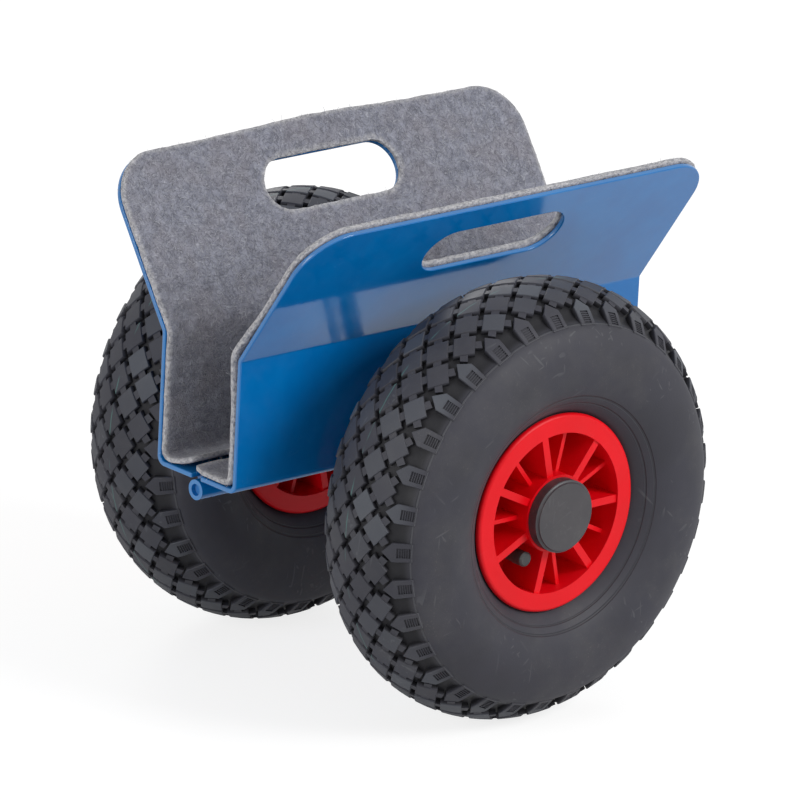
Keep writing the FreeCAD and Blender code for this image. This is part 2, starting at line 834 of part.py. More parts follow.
def bushes(name, side):
    """Flanged bearing bushes pressed into both ends of the hub."""
    made = []
    for end, seat, outward in (("inner", -size("hub_inner_reach"), -1), ("outer", hub_seat, 1)):
        body = new_body(f"{name}_{end}_bush")
        tail = seat - size("bush_length") * outward
        face = seat + size("bush_flange") * outward
        revolved(body, [[
            (tail, bush_bore),
            (face, bush_bore),
            (face, size("bush_flange_radius")),
            (seat, size("bush_flange_radius")),
            (seat, bush_radius),
            (tail, bush_radius),
        ]])
        place(body, side, half_spacing, axle_height)
        made.append(body)
    return made


def hub_cap(name, side):
    """Cap with a rounded edge, plugged into the recess of the hub over the axle end."""
    body = new_body(f"{name}_hub_cap")
    radius, edge, wall = size("cap_diameter") / 2, size("cap_edge_radius"), size("cap_wall")
    seat = size("hub_outer_reach")
    face = seat + size("cap_height")
    plug = size("hub_recess_radius") - size("cap_clearance")
    plug_end = seat - size("cap_plug")
    revolved(body, [[
        (seat, plug),
        (seat, radius),
        (face - edge, radius),
        (face, radius - edge, edge),
        (face, ZERO),
        (face - wall, ZERO),
        (face - wall, plug - wall),
        (plug_end, plug - wall),
        (plug_end, plug),
    ]])
    place(body, side, half_spacing, axle_height)
    return body


left_tyre = tyre("left")
pieces = [hinge_pin(), left_tyre, same_wheel_piece("right_tyre", left_tyre, SIDES["right"])]
for name, side in SIDES.items():
    pieces += [jaw_plate(name, side), felt_liner(name, side), stub_axle(name, side), split_pin(name, side)]
    pieces += axle_rings(name, side)
    pieces += [inner_tube(name, side), rim(name, side), hub_cap(name, side)]
    pieces += [valve_stem(name, side), valve_cap(name, side)]
    pieces += bushes(name, side)
for number in range(SIZES["knuckle_count"]):
    pieces.append(hinge_knuckle(number, SIDES["right" if number % 2 else "left"]))
doc.recompute()

for item in doc.Objects:
    if "Invalid" in item.State or "Error" in item.State:
        raise RuntimeError(f"{item.Label} failed: {item.State}")
for piece in pieces:
    if piece.Shape.isNull() or not piece.Shape.isValid():
        raise RuntimeError(f"{piece.Label} has no valid shape")

os.makedirs("parts", exist_ok=True)
for piece in pieces:
    piece.Shape.exportStep(f"parts/{piece.Label}.step")
    print(piece.Label, len(piece.Shape.Solids), round(piece.Shape.Volume, 1))
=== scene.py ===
import json
import math

import bmesh
import bpy
import numpy as np
from mathutils import Matrix, Vector, geometry, kdtree, noise


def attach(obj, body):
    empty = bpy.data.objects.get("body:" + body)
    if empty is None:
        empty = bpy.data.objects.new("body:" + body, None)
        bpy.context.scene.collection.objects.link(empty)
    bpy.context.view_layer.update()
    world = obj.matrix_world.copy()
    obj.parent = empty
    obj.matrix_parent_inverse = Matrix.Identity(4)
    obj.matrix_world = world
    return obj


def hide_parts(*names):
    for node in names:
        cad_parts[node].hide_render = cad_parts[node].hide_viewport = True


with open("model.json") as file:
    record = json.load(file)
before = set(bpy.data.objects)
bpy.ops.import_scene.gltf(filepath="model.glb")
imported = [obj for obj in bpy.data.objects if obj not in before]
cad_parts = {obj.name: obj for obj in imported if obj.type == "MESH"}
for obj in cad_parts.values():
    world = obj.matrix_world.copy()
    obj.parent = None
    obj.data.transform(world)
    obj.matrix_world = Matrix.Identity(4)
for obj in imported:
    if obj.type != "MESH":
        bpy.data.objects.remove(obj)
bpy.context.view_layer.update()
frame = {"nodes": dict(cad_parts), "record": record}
nodes = frame["nodes"]
scene = bpy.context.scene

MM = 0.001
SIDES = {"left": 1, "right": -1}

# Wheels
AXLE_HEIGHT = 130 * MM
HALF_SPACING = 104 * MM
WHEEL_RADIUS = 130 * MM
TYRE_HALF = 44.5 * MM
CROWN_RADIUS = 47.5 * MM
SHOULDER = 30 * MM
BELLY_HEIGHT = 88.97 * MM
BEAD_HALF = 28.6 * MM
BEAD_TOP = 58.5 * MM
BEAD_FOOT = 50.9 * MM
BEAD_TOE = 22.6 * MM
ARC_STEPS = 24

# Tread: heights are counted from the top of the blocks
BLOCKS_AROUND = 33
COLUMN_STEP = 10 * MM
BLOCK_HALF_LENGTH = 10 * MM
BLOCK_HALF_WIDTH = 8 * MM
BAR_HALF_LENGTH = 2.4 * MM
BAR_HALF_WIDTH = 2.3 * MM
BAR_TOP = -0.6 * MM
GROOVE_DEPTH = 3.6 * MM
GROOVE_END = 33 * MM
TREAD_END = 46 * MM
TREAD_FOOT = -GROOVE_DEPTH - 0.4 * MM
TREAD_TURN = {"left": math.radians(3.0), "right": math.radians(-9.3)}
BLOCK_EDGE = -0.45 * MM
FOOT_SPREAD = 1.06
TOP_INSET = 0.93
LUG_HALF = 6.2 * MM
LUG_APEX = -5.6 * MM
LUG_END = 13 * MM
LUG_EDGE = -0.4 * MM
WINDOW_HALF = 3.2 * MM
WINDOW_START = 3.4 * MM
WINDOW_END = 11.4 * MM
WINDOW_FLOOR = -0.9 * MM
WINDOW_RIBS = 5
RIB_HALF = 0.25 * MM
RIB_TOP = -0.35 * MM
STEPS_PER_BLOCK = 8
STEPS_ACROSS = 141
MERGE_DISTANCE = 0.01 * MM

# Rings round the side wall: one raised, two sunk, each with its radius and half width
RAISED_RING = (112.3 * MM, 0.5 * MM)
SUNK_RINGS = ((66.0 * MM, 0.6 * MM), (70.5 * MM, 0.9 * MM))

# Bent jaws and their felt, all seen from the hinge line
FLOOR_HEIGHT = 139.5 * MM
PLATE_LENGTH = 306 * MM
FLANGE_EDGE = 3.8 * MM
CHANNEL_HALF = 34.5 * MM
WALL_HEIGHT = 79 * MM
FLARE_LENGTH = 103 * MM
FLARE_ANGLE = math.radians(34)
SLOT_RISE = 68 * MM
SLOT_LENGTH = 103 * MM
SLOT_WIDTH = 33 * MM
CORNER_RADIUS = 30 * MM
FELT_THICKNESS = 4 * MM
FELT_DEPTH = 5.2 * MM
FELT_FLOOR_BEND = 5.5 * MM
FELT_FLARE_BEND = 7 * MM
FELT_OVER_TOP = 0.6 * MM
FELT_SEED = {"left": 11.0, "right": 47.0}
BEND_STEPS = 12
LINE_SAMPLES = 900

# Coated plates: the rounding of their cut edges, and what counts as broad, level, welded, flat and sharp
COAT_ROUNDING = 0.8 * MM
BROAD_FACE = 5 * MM
LEVEL_WITHIN = 0.05 * MM
SAME_WAY = 0.9999
WELD_DISTANCE = 0.001 * MM
FLAT_ANGLE = math.radians(0.5)
SHARP_CUT = math.radians(50)

# Angles in degrees up to which faces are shaded smooth
SMOOTH_UP_TO = {"tyre": 40, "plate": 30, "felt": 70}

# Flat cut of the felt: shake, clearance and longest side are counted in steps
FELT_STEP = 2.6 * MM
SHAKE = 0.35
EDGE_CLEARANCE = 0.6
LONGEST_SIDE = 2.5
CUT_CORNER = 0.5 * MM
CUT_TOLERANCE = 0.5 * MM
SLOT_ROUNDING = 0.999

# Unevenness of the felt: waves per metre, and depths in millimetres; unseeded, its noise goes by the clock
NOISE_SEED = 7
FINE_RAGS = 420
BROAD_RAGS = 70
RAG_DEPTH = 0.4
LUMPS = ((90, 0.22), (330, 0.16))
RIM_SWELL = 0.35
RIM_PROBE = 0.8

# Cut edge of the felt: how far in it is soft, and how its face, back and rim give way there
SOFT_WIDTH = 2.2 * MM
FACE_DROP = 0.55 * MM
BACK_LIFT = 0.95 * MM
RIM_LIFT = 0.25 * MM
SLOT_OVERHANG = 0.5 * MM

# Loose places of the felt: the strip above the slot, the bend at one end, and the edges over the hinge
STRIP_ABOVE_SLOT = 20 * MM
STRIP_HALF = 55 * MM
STRIP_STRETCH = 2.4 * MM
STRIP_LIFT = 1.2 * MM
BEND_LIFT = 2.4 * MM
BEND_REACH_UP = 22 * MM
BEND_REACH_ALONG = 35 * MM
FLAP_OVERHANG = {"left": 0.8 * MM, "right": 4 * MM}
FLAP_LENGTH = {"left": 20 * MM, "right": 2 * MM}
FLAP_LIFT = {"left": 6.4 * MM, "right": 2 * MM}
FLAP_POWER = 1.6
FLAP_UNEVENNESS = 0.06
FLAP_WAVES = 14

# Loose hairs on the felt: lifts in radians, and the line of one hair in millimetres
HAIRS_PER_SQUARE_METRE = 42000.0
HAIRS_MORE_AT_EDGE = 0.8
HAIR_SEED = {"left": 3, "right": 8}
SIZE_SEED, LIFT_SEED, TONE_SEED = 5, 9, 3
HAIR_SIZES = (0.5, 1.3)
HAIR_LIFTS = (-0.5, 0.25)
HAIR_LINE = ((0, 0, 0), (1.1, 0.25, 0.3), (2.3, 0.1, 0.42), (3.4, -0.5, 0.3))
HAIR_HALF_WIDTHS = (0.065, 0.065, 0.065, 0.025)

# Studio: each lamp's name, place, width and power in watts
LAMPS = (
    ("front_lamp", (0.9, -2.1, 1.6), 1.1, 46),
    ("side_lamp", (-2.3, -0.1, 0.9), 1.2, 22),
    ("back_lamp", (1.1, 2.3, 1.5), 1.2, 26),
)
LAMP_AIM = Vector((0, 0, 0.15))
FLOOR_REACH = 6.0
ROOM_LIGHT = 0.33
ROOM_SEEN = 1.0

VALUE, VECTOR, WHOLE = "NodeSocketFloat", "NodeSocketVector", "NodeSocketInt"
OBJECT, MATERIAL, SHAPE = "NodeSocketObject", "NodeSocketMaterial", "NodeSocketGeometry"


def linear(red, green, blue):
    """Colour for a shader from the 0 to 255 values that the eye sees."""
    def part(value):
        value /= 255
        return value / 12.92 if value <= 0.04045 else ((value + 0.055) / 1.055) ** 2.4
    return (part(red), part(green), part(blue), 1)


def fill(tree, node, inputs):
    """Sets a node's inputs; a value that is a socket becomes a link."""
    for key, value in inputs.items():
        if isinstance(value, bpy.types.NodeSocket):
            tree.links.new(value, node.inputs[key])
        else:
            node.inputs[key].default_value = value
    return node


def put(tree, kind, inputs=None, **settings):
    """A new node with its settings and inputs."""
    node = tree.nodes.new(kind)
    for name, value in settings.items():
        setattr(node, name, value)
    return fill(tree, node, inputs or {})


def made(tree, kind, inputs=None, **settings):
    """The first output of a new node."""
    return put(tree, kind, inputs, **settings).outputs[0]


def calc(tree, operation, *values):
    return made(tree, "ShaderNodeMath", dict(enumerate(values)), operation=operation)


def times(tree, first, second):
    return calc(tree, "MULTIPLY", first, second)


def vector_calc(tree, operation, inputs, output=0):
    return put(tree, "ShaderNodeVectorMath", inputs, operation=operation).outputs[output]


def axes(tree, place):
    return put(tree, "ShaderNodeSeparateXYZ", {0: place}).outputs


def vector(tree, parts):
    """A vector from the axes that are given by number, with zero for the others."""
    return made(tree, "ShaderNodeCombineXYZ", parts)


def strongest(tree, masks):
    """The highest of several masks at each place."""
    total = masks[0]
    for mask in masks[1:]:
        total = calc(tree, "MAXIMUM", total, mask)
    return total


def spread(tree, value, low, high, to_low=0.0, to_high=1.0, kind="SMOOTHSTEP"):
    """Maps a value from one range to another, and no further."""
    return put(tree, "ShaderNodeMapRange", {
        "Value": value, "From Min": low, "From Max": high, "To Min": to_low, "To Max": to_high,
    }, interpolation_type=kind).outputs["Result"]


def mixed(tree, share, first, second):
    return put(tree, "ShaderNodeMix", {0: share, 6: first, 7: second}, data_type="RGBA").outputs[2]


def speckle(tree, place, scale, detail=2.0, rough=0.5):
    return put(tree, "ShaderNodeTexNoise", {
        "Vector": place, "Scale": scale, "Detail": detail, "Roughness": rough,
    }).outputs["Fac"]


def mapped(tree, place, stretch=(1, 1, 1), shift=(0, 0, 0)):
    return made(tree, "ShaderNodeMapping", {"Vector": place, "Location": shift, "Scale": stretch})


def attribute(tree, name):
    return put(tree, "ShaderNodeAttribute", attribute_name=name).outputs["Fac"]


def new_group(name, kind, inputs, outputs):
    """An empty node group with its sockets, and its input and output sockets to build on."""
    tree = bpy.data.node_groups.new(name, kind)
    for label, socket in inputs:
        tree.interface.new_socket(name=label, in_out="INPUT", socket_type=socket)
    for label, socket in outputs:
        tree.interface.new_socket(name=label, in_out="OUTPUT", socket_type=socket)
    return tree, tree.nodes.new("NodeGroupInput").outputs, tree.nodes.new("NodeGroupOutput").inputs


def shader_group(name, values, results):
    """An empty shader group that takes a place and some values."""
    inputs = [("Place", VECTOR)] + [(label, VALUE) for label in values]
    return new_group(name, "ShaderNodeTree", inputs, [(label, VALUE) for label in results])


def geometry_group(name, inputs):
    shape = [("Geometry", SHAPE)]
    return new_group(name, "GeometryNodeTree", shape + inputs, shape)


def make_skin_group():
    """Slow drift of tone and small bumps of a coated or moulded face."""
    values = ("Bumps per metre", "Drifts per metre")
    tree, given, out = shader_group("moulded_skin", values, ("Drift", "Height"))
    fine = speckle(tree, given["Place"], given["Bumps per metre"], 1.0)
    slow = speckle(tree, given["Place"], given["Drifts per metre"], 3.0, 0.6)
    tree.links.new(spread(tree, slow, 0.3, 0.7), out["Drift"])
    tree.links.new(fine, out["Height"])
    return tree


def make_scuff_group():
    """Short thin scratches, in a few directions, that come in patches."""
    tree, given, out = shader_group("scuffs", ("Scratches per metre", "Amount"), ("Mask",))
    patches = spread(tree, speckle(tree, given["Place"], 28, 2.0), 0.5, 0.68)
    scratches = []
    for angle, shift in ((0.5, 0.0), (1.7, 3.1), (2.6, 7.7)):
        bent = made(tree, "ShaderNodeVectorRotate", {
            "Vector": given["Place"], "Axis": (0.4, 0.8, 0.45), "Angle": angle,
        })
        along = mapped(tree, bent, (0.08, 1, 1), (shift, shift, shift))
        line = speckle(tree, along, given["Scratches per metre"], 0.0)
        scratches.append(spread(tree, line, 0.73, 0.79))
    masked = times(tree, strongest(tree, scratches), patches)
    tree.links.new(times(tree, masked, given["Amount"]), out["Mask"])
    return tree


def make_dust_group():
    """Pale dust that lies in soft clouds with small specks in them."""
    tree, given, out = shader_group("dust", ("Clouds per metre", "Amount"), ("Mask",))
    cloud = spread(tree, speckle(tree, given["Place"], given["Clouds per metre"], 4.0, 0.65), 0.42, 0.75)
    grit = spread(tree, speckle(tree, given["Place"], 900, 1.0), 0.62, 0.74)
    both = calc(tree, "ADD", times(tree, cloud, 0.6), times(tree, cloud, grit))
    tree.links.new(times(tree, both, given["Amount"]), out["Mask"])
    return tree


skin_group = make_skin_group()
scuff_group = make_scuff_group()
dust_group = make_dust_group()


def new_material(name):
    """A material with its shader, and the tree and object coordinates to build on."""
    material = bpy.data.materials.new(name)
    material.use_nodes = True
    tree = material.node_tree
    shader = tree.nodes["Principled BSDF"]
    place = tree.nodes.new("ShaderNodeTexCoord").outputs["Object"]
    return material, tree, shader, place


def group_node(tree, group, values):
    return put(tree, "ShaderNodeGroup", values, node_tree=group).outputs


def bumped(tree, shader, height, distance, strength=1.0):
    bump = put(tree, "ShaderNodeBump", {"Height": height, "Distance": distance, "Strength": strength})
    tree.links.new(bump.outputs["Normal"], shader.inputs["Normal"])


def thin_coat_and_highlight_mask(tree, along_sheet):
    """Mask of the faces that look along the sheet and not across it, where a coat is thin and where a
    painted highlight is laid.
    """
    facing = tree.nodes.new("ShaderNodeTexCoord").outputs["Normal"]
    endways = axes(tree, facing)[0]
    upways = vector_calc(tree, "DOT_PRODUCT", {0: facing, 1: along_sheet}, "Value")
    squares = [times(tree, way, way) for way in (endways, upways)]
    return spread(tree, calc(tree, "ADD", *squares), 0.72, 0.97)


def make_skin(name, colour, deep, rough, bumps=900, bump=0.00003, scuffs=0.15, dust=0.05, pale=None,
              coat=0.0, specular=0.5, along_sheet=None):
    """A coated or moulded finish: two tones, small bumps, faint scuffs and a little dust, and along a
    sheet's cut edges a paler tone that is partly thin coat and partly painted highlight.
    """
    material, tree, shader, place = new_material(name)
    skin = group_node(tree, skin_group, {"Place": place, "Bumps per metre": bumps, "Drifts per metre": 22})
    scuff = group_node(tree, scuff_group, {"Place": place, "Scratches per metre": 700, "Amount": scuffs})
    dusty = group_node(tree, dust_group, {"Place": place, "Clouds per metre": 35, "Amount": dust})
    colour, deep, pale = (linear(*shade) for shade in (colour, deep, pale or colour))
    tone = mixed(tree, skin["Drift"], deep, colour)
    if along_sheet:
        # Paler cut edges: partly thin coat, partly a painted highlight where the edges catch the light.
        thin_coat_and_highlight = times(tree, thin_coat_and_highlight_mask(tree, along_sheet), 0.3)
        tone = mixed(tree, thin_coat_and_highlight, tone, pale)
    worn = mixed(tree, scuff["Mask"], tone, pale)
    dusted = mixed(tree, dusty["Mask"], worn, linear(190, 188, 182))
    dull = spread(tree, skin["Drift"], 0, 1, rough - 0.04, rough + 0.04)
    for wear, duller in ((scuff, 0.25), (dusty, 0.5)):
        dull = calc(tree, "ADD", dull, times(tree, wear["Mask"], duller))
    fill(tree, shader, {
        "Base Color": dusted, "Roughness": dull,
        "Coat Weight": coat, "Coat Roughness": 0.06, "Specular IOR Level": specular,
    })
    bumped(tree, shader, skin["Height"], bump)
    return material


def make_felt():
    """Pressed grey felt: a cloudy ground with light and dark hairs that cross at all angles."""
    hollow, level, warm = linear(119, 121, 134), linear(150, 152, 166), linear(141, 135, 141)
    dark_hair, light_hair, fluff = linear(80, 81, 93), linear(190, 191, 200), linear(205, 204, 206)
    material, tree, shader, _ = new_material("grey_felt")
    cut = made(tree, "ShaderNodeUVMap", uv_map="felt_cut")
    wander = put(tree, "ShaderNodeTexNoise", {"Vector": cut, "Scale": 160, "Detail": 2.0}).outputs["Color"]
    away = vector_calc(tree, "SUBTRACT", {0: wander, 1: (0.5, 0.5, 0.5)})
    near = vector_calc(tree, "SCALE", {0: away, "Scale": 0.006})
    bent = vector_calc(tree, "ADD", {0: cut, 1: near})
    brights, shades = [], []
    for number, angle in enumerate((0.2, 0.9, 1.5, 2.2, 2.8)):
        swung = put(tree, "ShaderNodeVectorRotate", {"Vector": bent, "Angle": angle}, rotation_type="Z_AXIS")
        hair = mapped(tree, swung.outputs[0], (0.14, 1, 1), (number * 0.37, number * 0.61, 0))
        strand = speckle(tree, hair, 1000, 1.5)
        brights.append(spread(tree, strand, 0.6, 0.74))
        shades.append(spread(tree, strand, 0.4, 0.27))
    light, dark = strongest(tree, brights), strongest(tree, shades)
    cloud = speckle(tree, cut, 150, 4.0, 0.7)
    ground = mixed(tree, spread(tree, cloud, 0.36, 0.64), hollow, level)
    patch = spread(tree, speckle(tree, cut, 34, 3.0, 0.6), 0.4, 0.66, 0.0, 0.4)
    tinted = mixed(tree, patch, ground, warm)
    shaded = mixed(tree, times(tree, dark, 0.45), tinted, dark_hair)
    haired = mixed(tree, times(tree, light, 0.45), shaded, light_hair)
    tufts = spread(tree, speckle(tree, cut, 420, 2.0), 0.36, 0.6, 0.25, 0.9)
    frayed = mixed(tree, times(tree, attribute(tree, "fray"), tufts), haired, fluff)
    fill(tree, shader, {
        "Base Color": frayed, "Roughness": 0.95, "Specular IOR Level": 0.15,
        "Sheen Weight": 0.25, "Sheen Roughness": 0.6,
    })
    height = calc(tree, "ADD", calc(tree, "SUBTRACT", light, dark), times(tree, cloud, 1.5))
    bumped(tree, shader, height, 0.0005, 0.8)
    return material


def make_hair():
    """Loose felt hairs, each in its own grey."""
    material, tree, shader, _ = new_material("felt_hair")
    grey = mixed(tree, attribute(tree, "tone"), linear(110, 112, 122), linear(198, 200, 206))
    fill(tree, shader, {"Base Color": grey, "Roughness": 0.9, "Specular IOR Level": 0.1})
    return material


def make_rubber(name, side):
    """Tyre rubber with mould rings round the side wall, a parting line and pale scuffs, with painted shade
    in the tread grooves and a painted highlight and painted shade on the rings.
    """
    deep, main, groove_shade = linear(51, 51, 58), linear(58, 58, 66), linear(20, 20, 23)
    pale_scuff, dust, rubbed_top = linear(120, 122, 124), linear(128, 126, 120), linear(98, 103, 110)
    ring_highlight, ring_shade, parting = linear(150, 152, 154), linear(36, 37, 40), linear(80, 116, 112)
    material, tree, shader, place = new_material(name)
    centred = mapped(tree, place, shift=(0, -side * HALF_SPACING, -AXLE_HEIGHT))
    across = axes(tree, centred)
    flat = vector(tree, {0: across[0], 1: across[2]})
    radius = vector_calc(tree, "LENGTH", {0: flat}, "Value")

    def ring(at, half):
        off = calc(tree, "ABSOLUTE", calc(tree, "SUBTRACT", radius, at))
        return spread(tree, off, half, half * 0.35)

    ridges = ring(*RAISED_RING)
    for sunk_ring in SUNK_RINGS:
        ridges = calc(tree, "SUBTRACT", ridges, ring(*sunk_ring))
    skin = group_node(tree, skin_group, {"Place": place, "Bumps per metre": 1500, "Drifts per metre": 26})
    scuff = group_node(tree, scuff_group, {"Place": place, "Scratches per metre": 420, "Amount": 0.22})
    dusty = group_node(tree, dust_group, {"Place": place, "Clouds per metre": 24, "Amount": 0.14})
    tone = mixed(tree, skin["Drift"], deep, main)
    scuffed = mixed(tree, scuff["Mask"], tone, pale_scuff)
    dusted = mixed(tree, dusty["Mask"], scuffed, dust)
    # Painted highlight on the raised ring and painted shade in the sunk rings, on top of their bump.
    ring_highlighted = mixed(tree, spread(tree, ridges, 0, 1, 0, 0.1), dusted, ring_highlight)
    ring_shaded = mixed(tree, spread(tree, ridges, 0, -1, 0, 0.35), ring_highlighted, ring_shade)
    height = attribute(tree, "tread_height")
    crown = spread(tree, radius, 112 * MM, 121 * MM)
    tops = times(tree, crown, spread(tree, height, -0.8 * MM, 0.0))
    wear = calc(tree, "POWER", attribute(tree, "block_wear"), 3.0)
    rub = spread(tree, wear, 0, 1, 0.04, 0.5, "LINEAR")
    rubbed = mixed(tree, times(tree, tops, rub), ring_shaded, rubbed_top)
    broken = spread(tree, speckle(tree, place, 55, 1.0), 0.45, 0.6)
    part_line = spread(tree, calc(tree, "ABSOLUTE", across[1]), 0.5 * MM, 0.25 * MM)
    seam = times(tree, times(tree, part_line, tops), broken)
    parted = mixed(tree, times(tree, seam, 0.7), rubbed, parting)
    # Painted shade: the deeper a place lies in the grooves, the darker it is painted, almost black at the
    # floor.
    groove_shade_share = spread(tree, height, -0.5 * MM, -3.0 * MM, 0.0, 0.85)
    fill(tree, shader, {
        "Base Color": mixed(tree, groove_shade_share, parted, groove_shade),
        "Roughness": spread(tree, skin["Drift"], 0, 1, 0.52, 0.64), "Specular IOR Level": 0.28,
    })
    relief = calc(tree, "ADD", ridges, times(tree, skin["Height"], 0.12))
    bumped(tree, shader, relief, 0.0004)
    return material


def make_zinc():
    """Bright zinc plate with a fine grain and dull clouds."""
    material, tree, shader, place = new_material("zinc_plate")
    skin = group_node(tree, skin_group, {"Place": place, "Bumps per metre": 2200, "Drifts per metre": 60})
    fill(tree, shader, {
        "Base Color": mixed(tree, skin["Drift"], linear(150, 152, 156), linear(196, 198, 202)),
        "Roughness": spread(tree, skin["Drift"], 0, 1, 0.5, 0.3), "Metallic": 1.0,
    })
    bumped(tree, shader, skin["Height"], 0.00002)
    return material


def make_blue_coat(name, along_sheet):
    """Glossy blue coat that is a little paler along the sheet's cut edges, partly for the thin coat there
    and partly as a painted highlight.
    """
    return make_skin(name, (0, 113, 184), (0, 103, 173), 0.07, bumps=700, bump=0.00001,
                     scuffs=0.06, dust=0.015, pale=(112, 152, 196), coat=0.12, specular=0.42,
                     along_sheet=along_sheet)


FINISHES = {
    "blue_paint": make_blue_coat("blue_powder_coat", (0, 0, 0)),
    "red_plastic": make_skin("red_moulding", (234, 8, 26), (226, 4, 20), 0.36, bumps=1200,
                             scuffs=0.1, dust=0.01, pale=(250, 70, 80), specular=0.22),
    "black_plastic": make_skin("black_cap", (60, 58, 62), (53, 51, 56), 0.42, bumps=1800,
                               scuffs=0.12, pale=(120, 120, 122)),
    "white_plastic": make_skin("white_bush", (226, 224, 216), (212, 210, 200), 0.38),
    "tube_rubber": make_skin("tube_rubber", (44, 44, 46), (36, 36, 38), 0.6, dust=0.1),
    "zinc_steel": make_zinc(),
}
valve_rubber = make_skin("valve_rubber", (52, 53, 55), (42, 43, 45), 0.55, dust=0.2)
plate_coat = {
    name: make_blue_coat(f"{name}_plate_coat", (0, side * math.sin(FLARE_ANGLE), math.cos(FLARE_ANGLE)))
    for name, side in SIDES.items()
}
felt_cloth = make_felt()
felt_hair = make_hair()
tyre_rubber = {name: make_rubber(f"{name}_tyre_rubber", side) for name, side in SIDES.items()}
for part in frame["record"]["subparts"]:
    finish = FINISHES.get(part["material_slot"])
    if part["node"].endswith(("valve_stem", "valve_cap")):
        finish = valve_rubber
    if finish:
        mesh = nodes[part["node"]].data
        mesh.materials.clear()
        mesh.materials.append(finish)


def new_piece(name, mesh):
    piece = bpy.data.objects.new(name, mesh)
    scene.collection.objects.link(piece)
    return piece


def plain_copy(source, name):
    """The finished mesh of an object with its modifiers, as a new plain piece."""
    graph = bpy.context.evaluated_depsgraph_get()
    mesh = bpy.data.meshes.new_from_object(source.evaluated_get(graph))
    mesh.name = name
    return new_piece(name, mesh)


def shape_object(name, points, faces, edges=()):
    mesh = bpy.data.meshes.new(name)
    mesh.from_pydata(points, edges, faces)
    return new_piece(name, mesh)


def drop(piece):
    data = piece.data
    bpy.data.objects.remove(piece)
    bpy.data.meshes.remove(data)


def shade_by_angle(mesh, degrees):
    """Smooth faces with the edges that turn more than this left sharp."""
    mesh.shade_smooth()
    mesh.set_sharp_from_angle(angle=math.radians(degrees))


def longest_side(corners):
    return max((a - b).length for a, b in zip(corners, corners[1:] + corners[:1]))


def arc(centre, radius, start, end):
    """Points on an arc, from one angle to another in degrees, without its first point."""
    angles = np.radians(np.linspace(start, end, ARC_STEPS + 1)[1:])
    return [(centre[0] + radius * math.cos(a), centre[1] + radius * math.sin(a)) for a in angles]


def side_arc(half_width, height):
    """Radius and turn in degrees of the side wall from its belly to a place this far up or down."""
    across = TYRE_HALF - half_width
    radius = (across ** 2 + height ** 2) / (2 * across)
    return radius, math.degrees(math.atan2(height, radius - across))


def tyre_outline():
    """Outside of the tyre across the wheel: (across, radius) from the inner face over the crown and back."""
    crown_centre = WHEEL_RADIUS - CROWN_RADIUS
    crown_turn = math.degrees(math.asin(SHOULDER / CROWN_RADIUS))
    shoulder_up = crown_centre + math.sqrt(CROWN_RADIUS ** 2 - SHOULDER ** 2)
    upper, upper_turn = side_arc(SHOULDER, shoulder_up - BELLY_HEIGHT)
    lower, lower_turn = side_arc(BEAD_HALF, BELLY_HEIGHT - BEAD_TOP)
    half = [(0.0, WHEEL_RADIUS)]
    half += arc((0, crown_centre), CROWN_RADIUS, 90, 90 - crown_turn)
    half += arc((TYRE_HALF - upper, BELLY_HEIGHT), upper, upper_turn, 0)
    half += arc((TYRE_HALF - lower, BELLY_HEIGHT), lower, 0, -lower_turn)
    half += [(BEAD_HALF, BEAD_FOOT), (BEAD_TOE, BEAD_FOOT), (0.0, BEAD_FOOT)]
    return [(-y, r) for y, r in half[:0:-1]] + half


def band(low, high, count):
    """Faces between two rings of points, by the number of each ring's first point."""
    steps = [(i, (i + 1) % count) for i in range(count)]
    return [(low + i, low + j, high + j, high + i) for i, j in steps]


def tread_block():
    """Diamond block on the flat: tapered walls, a small chamfer and a flat top."""
    rings = ((FOOT_SPREAD, TREAD_FOOT), (1.0, BLOCK_EDGE), (TOP_INSET, 0.0))
    corners = [(1, 0), (0.5, 0.5), (0, 1), (-0.5, 0.5), (-1, 0), (-0.5, -0.5), (0, -1), (0.5, -0.5)]
    points = [(x * k * BLOCK_HALF_LENGTH, y * k * BLOCK_HALF_WIDTH, z) for k, z in rings for x, y in corners]
    points.append((0, 0, 0))
    count = len(corners)
    faces = []
    for level in range(len(rings) - 1):
        faces += band(level * count, (level + 1) * count, count)
    top = (len(rings) - 1) * count
    for i in range(1, count, 2):
        faces.append((top + i, top + (i + 1) % count, top + (i + 2) % count, len(points) - 1))
    return shape_object("tread_block", points, faces)


def rectangle(half, low, high):
    """Corners of a rectangle that is centred along its first axis."""
    return [(-half, low), (half, low), (half, high), (-half, high)]


def prism(points, faces, outline, low, high):
    """Adds an upright prism with an open foot to a list of points and faces."""
    first, count = len(points), len(outline)
    points += [(x, y, low) for x, y in outline] + [(x, y, high) for x, y in outline]
    faces += band(first, first + count, count)
    faces.append(tuple(range(first + count, first + 2 * count)))


def tread_bar():
    """Low bridge across the groove between two blocks."""
    points, faces = [], []
    outline = rectangle(BAR_HALF_LENGTH, -BAR_HALF_WIDTH, BAR_HALF_WIDTH)
    prism(points, faces, outline, TREAD_FOOT, BAR_TOP)
    return shape_object("tread_bar", points, faces)


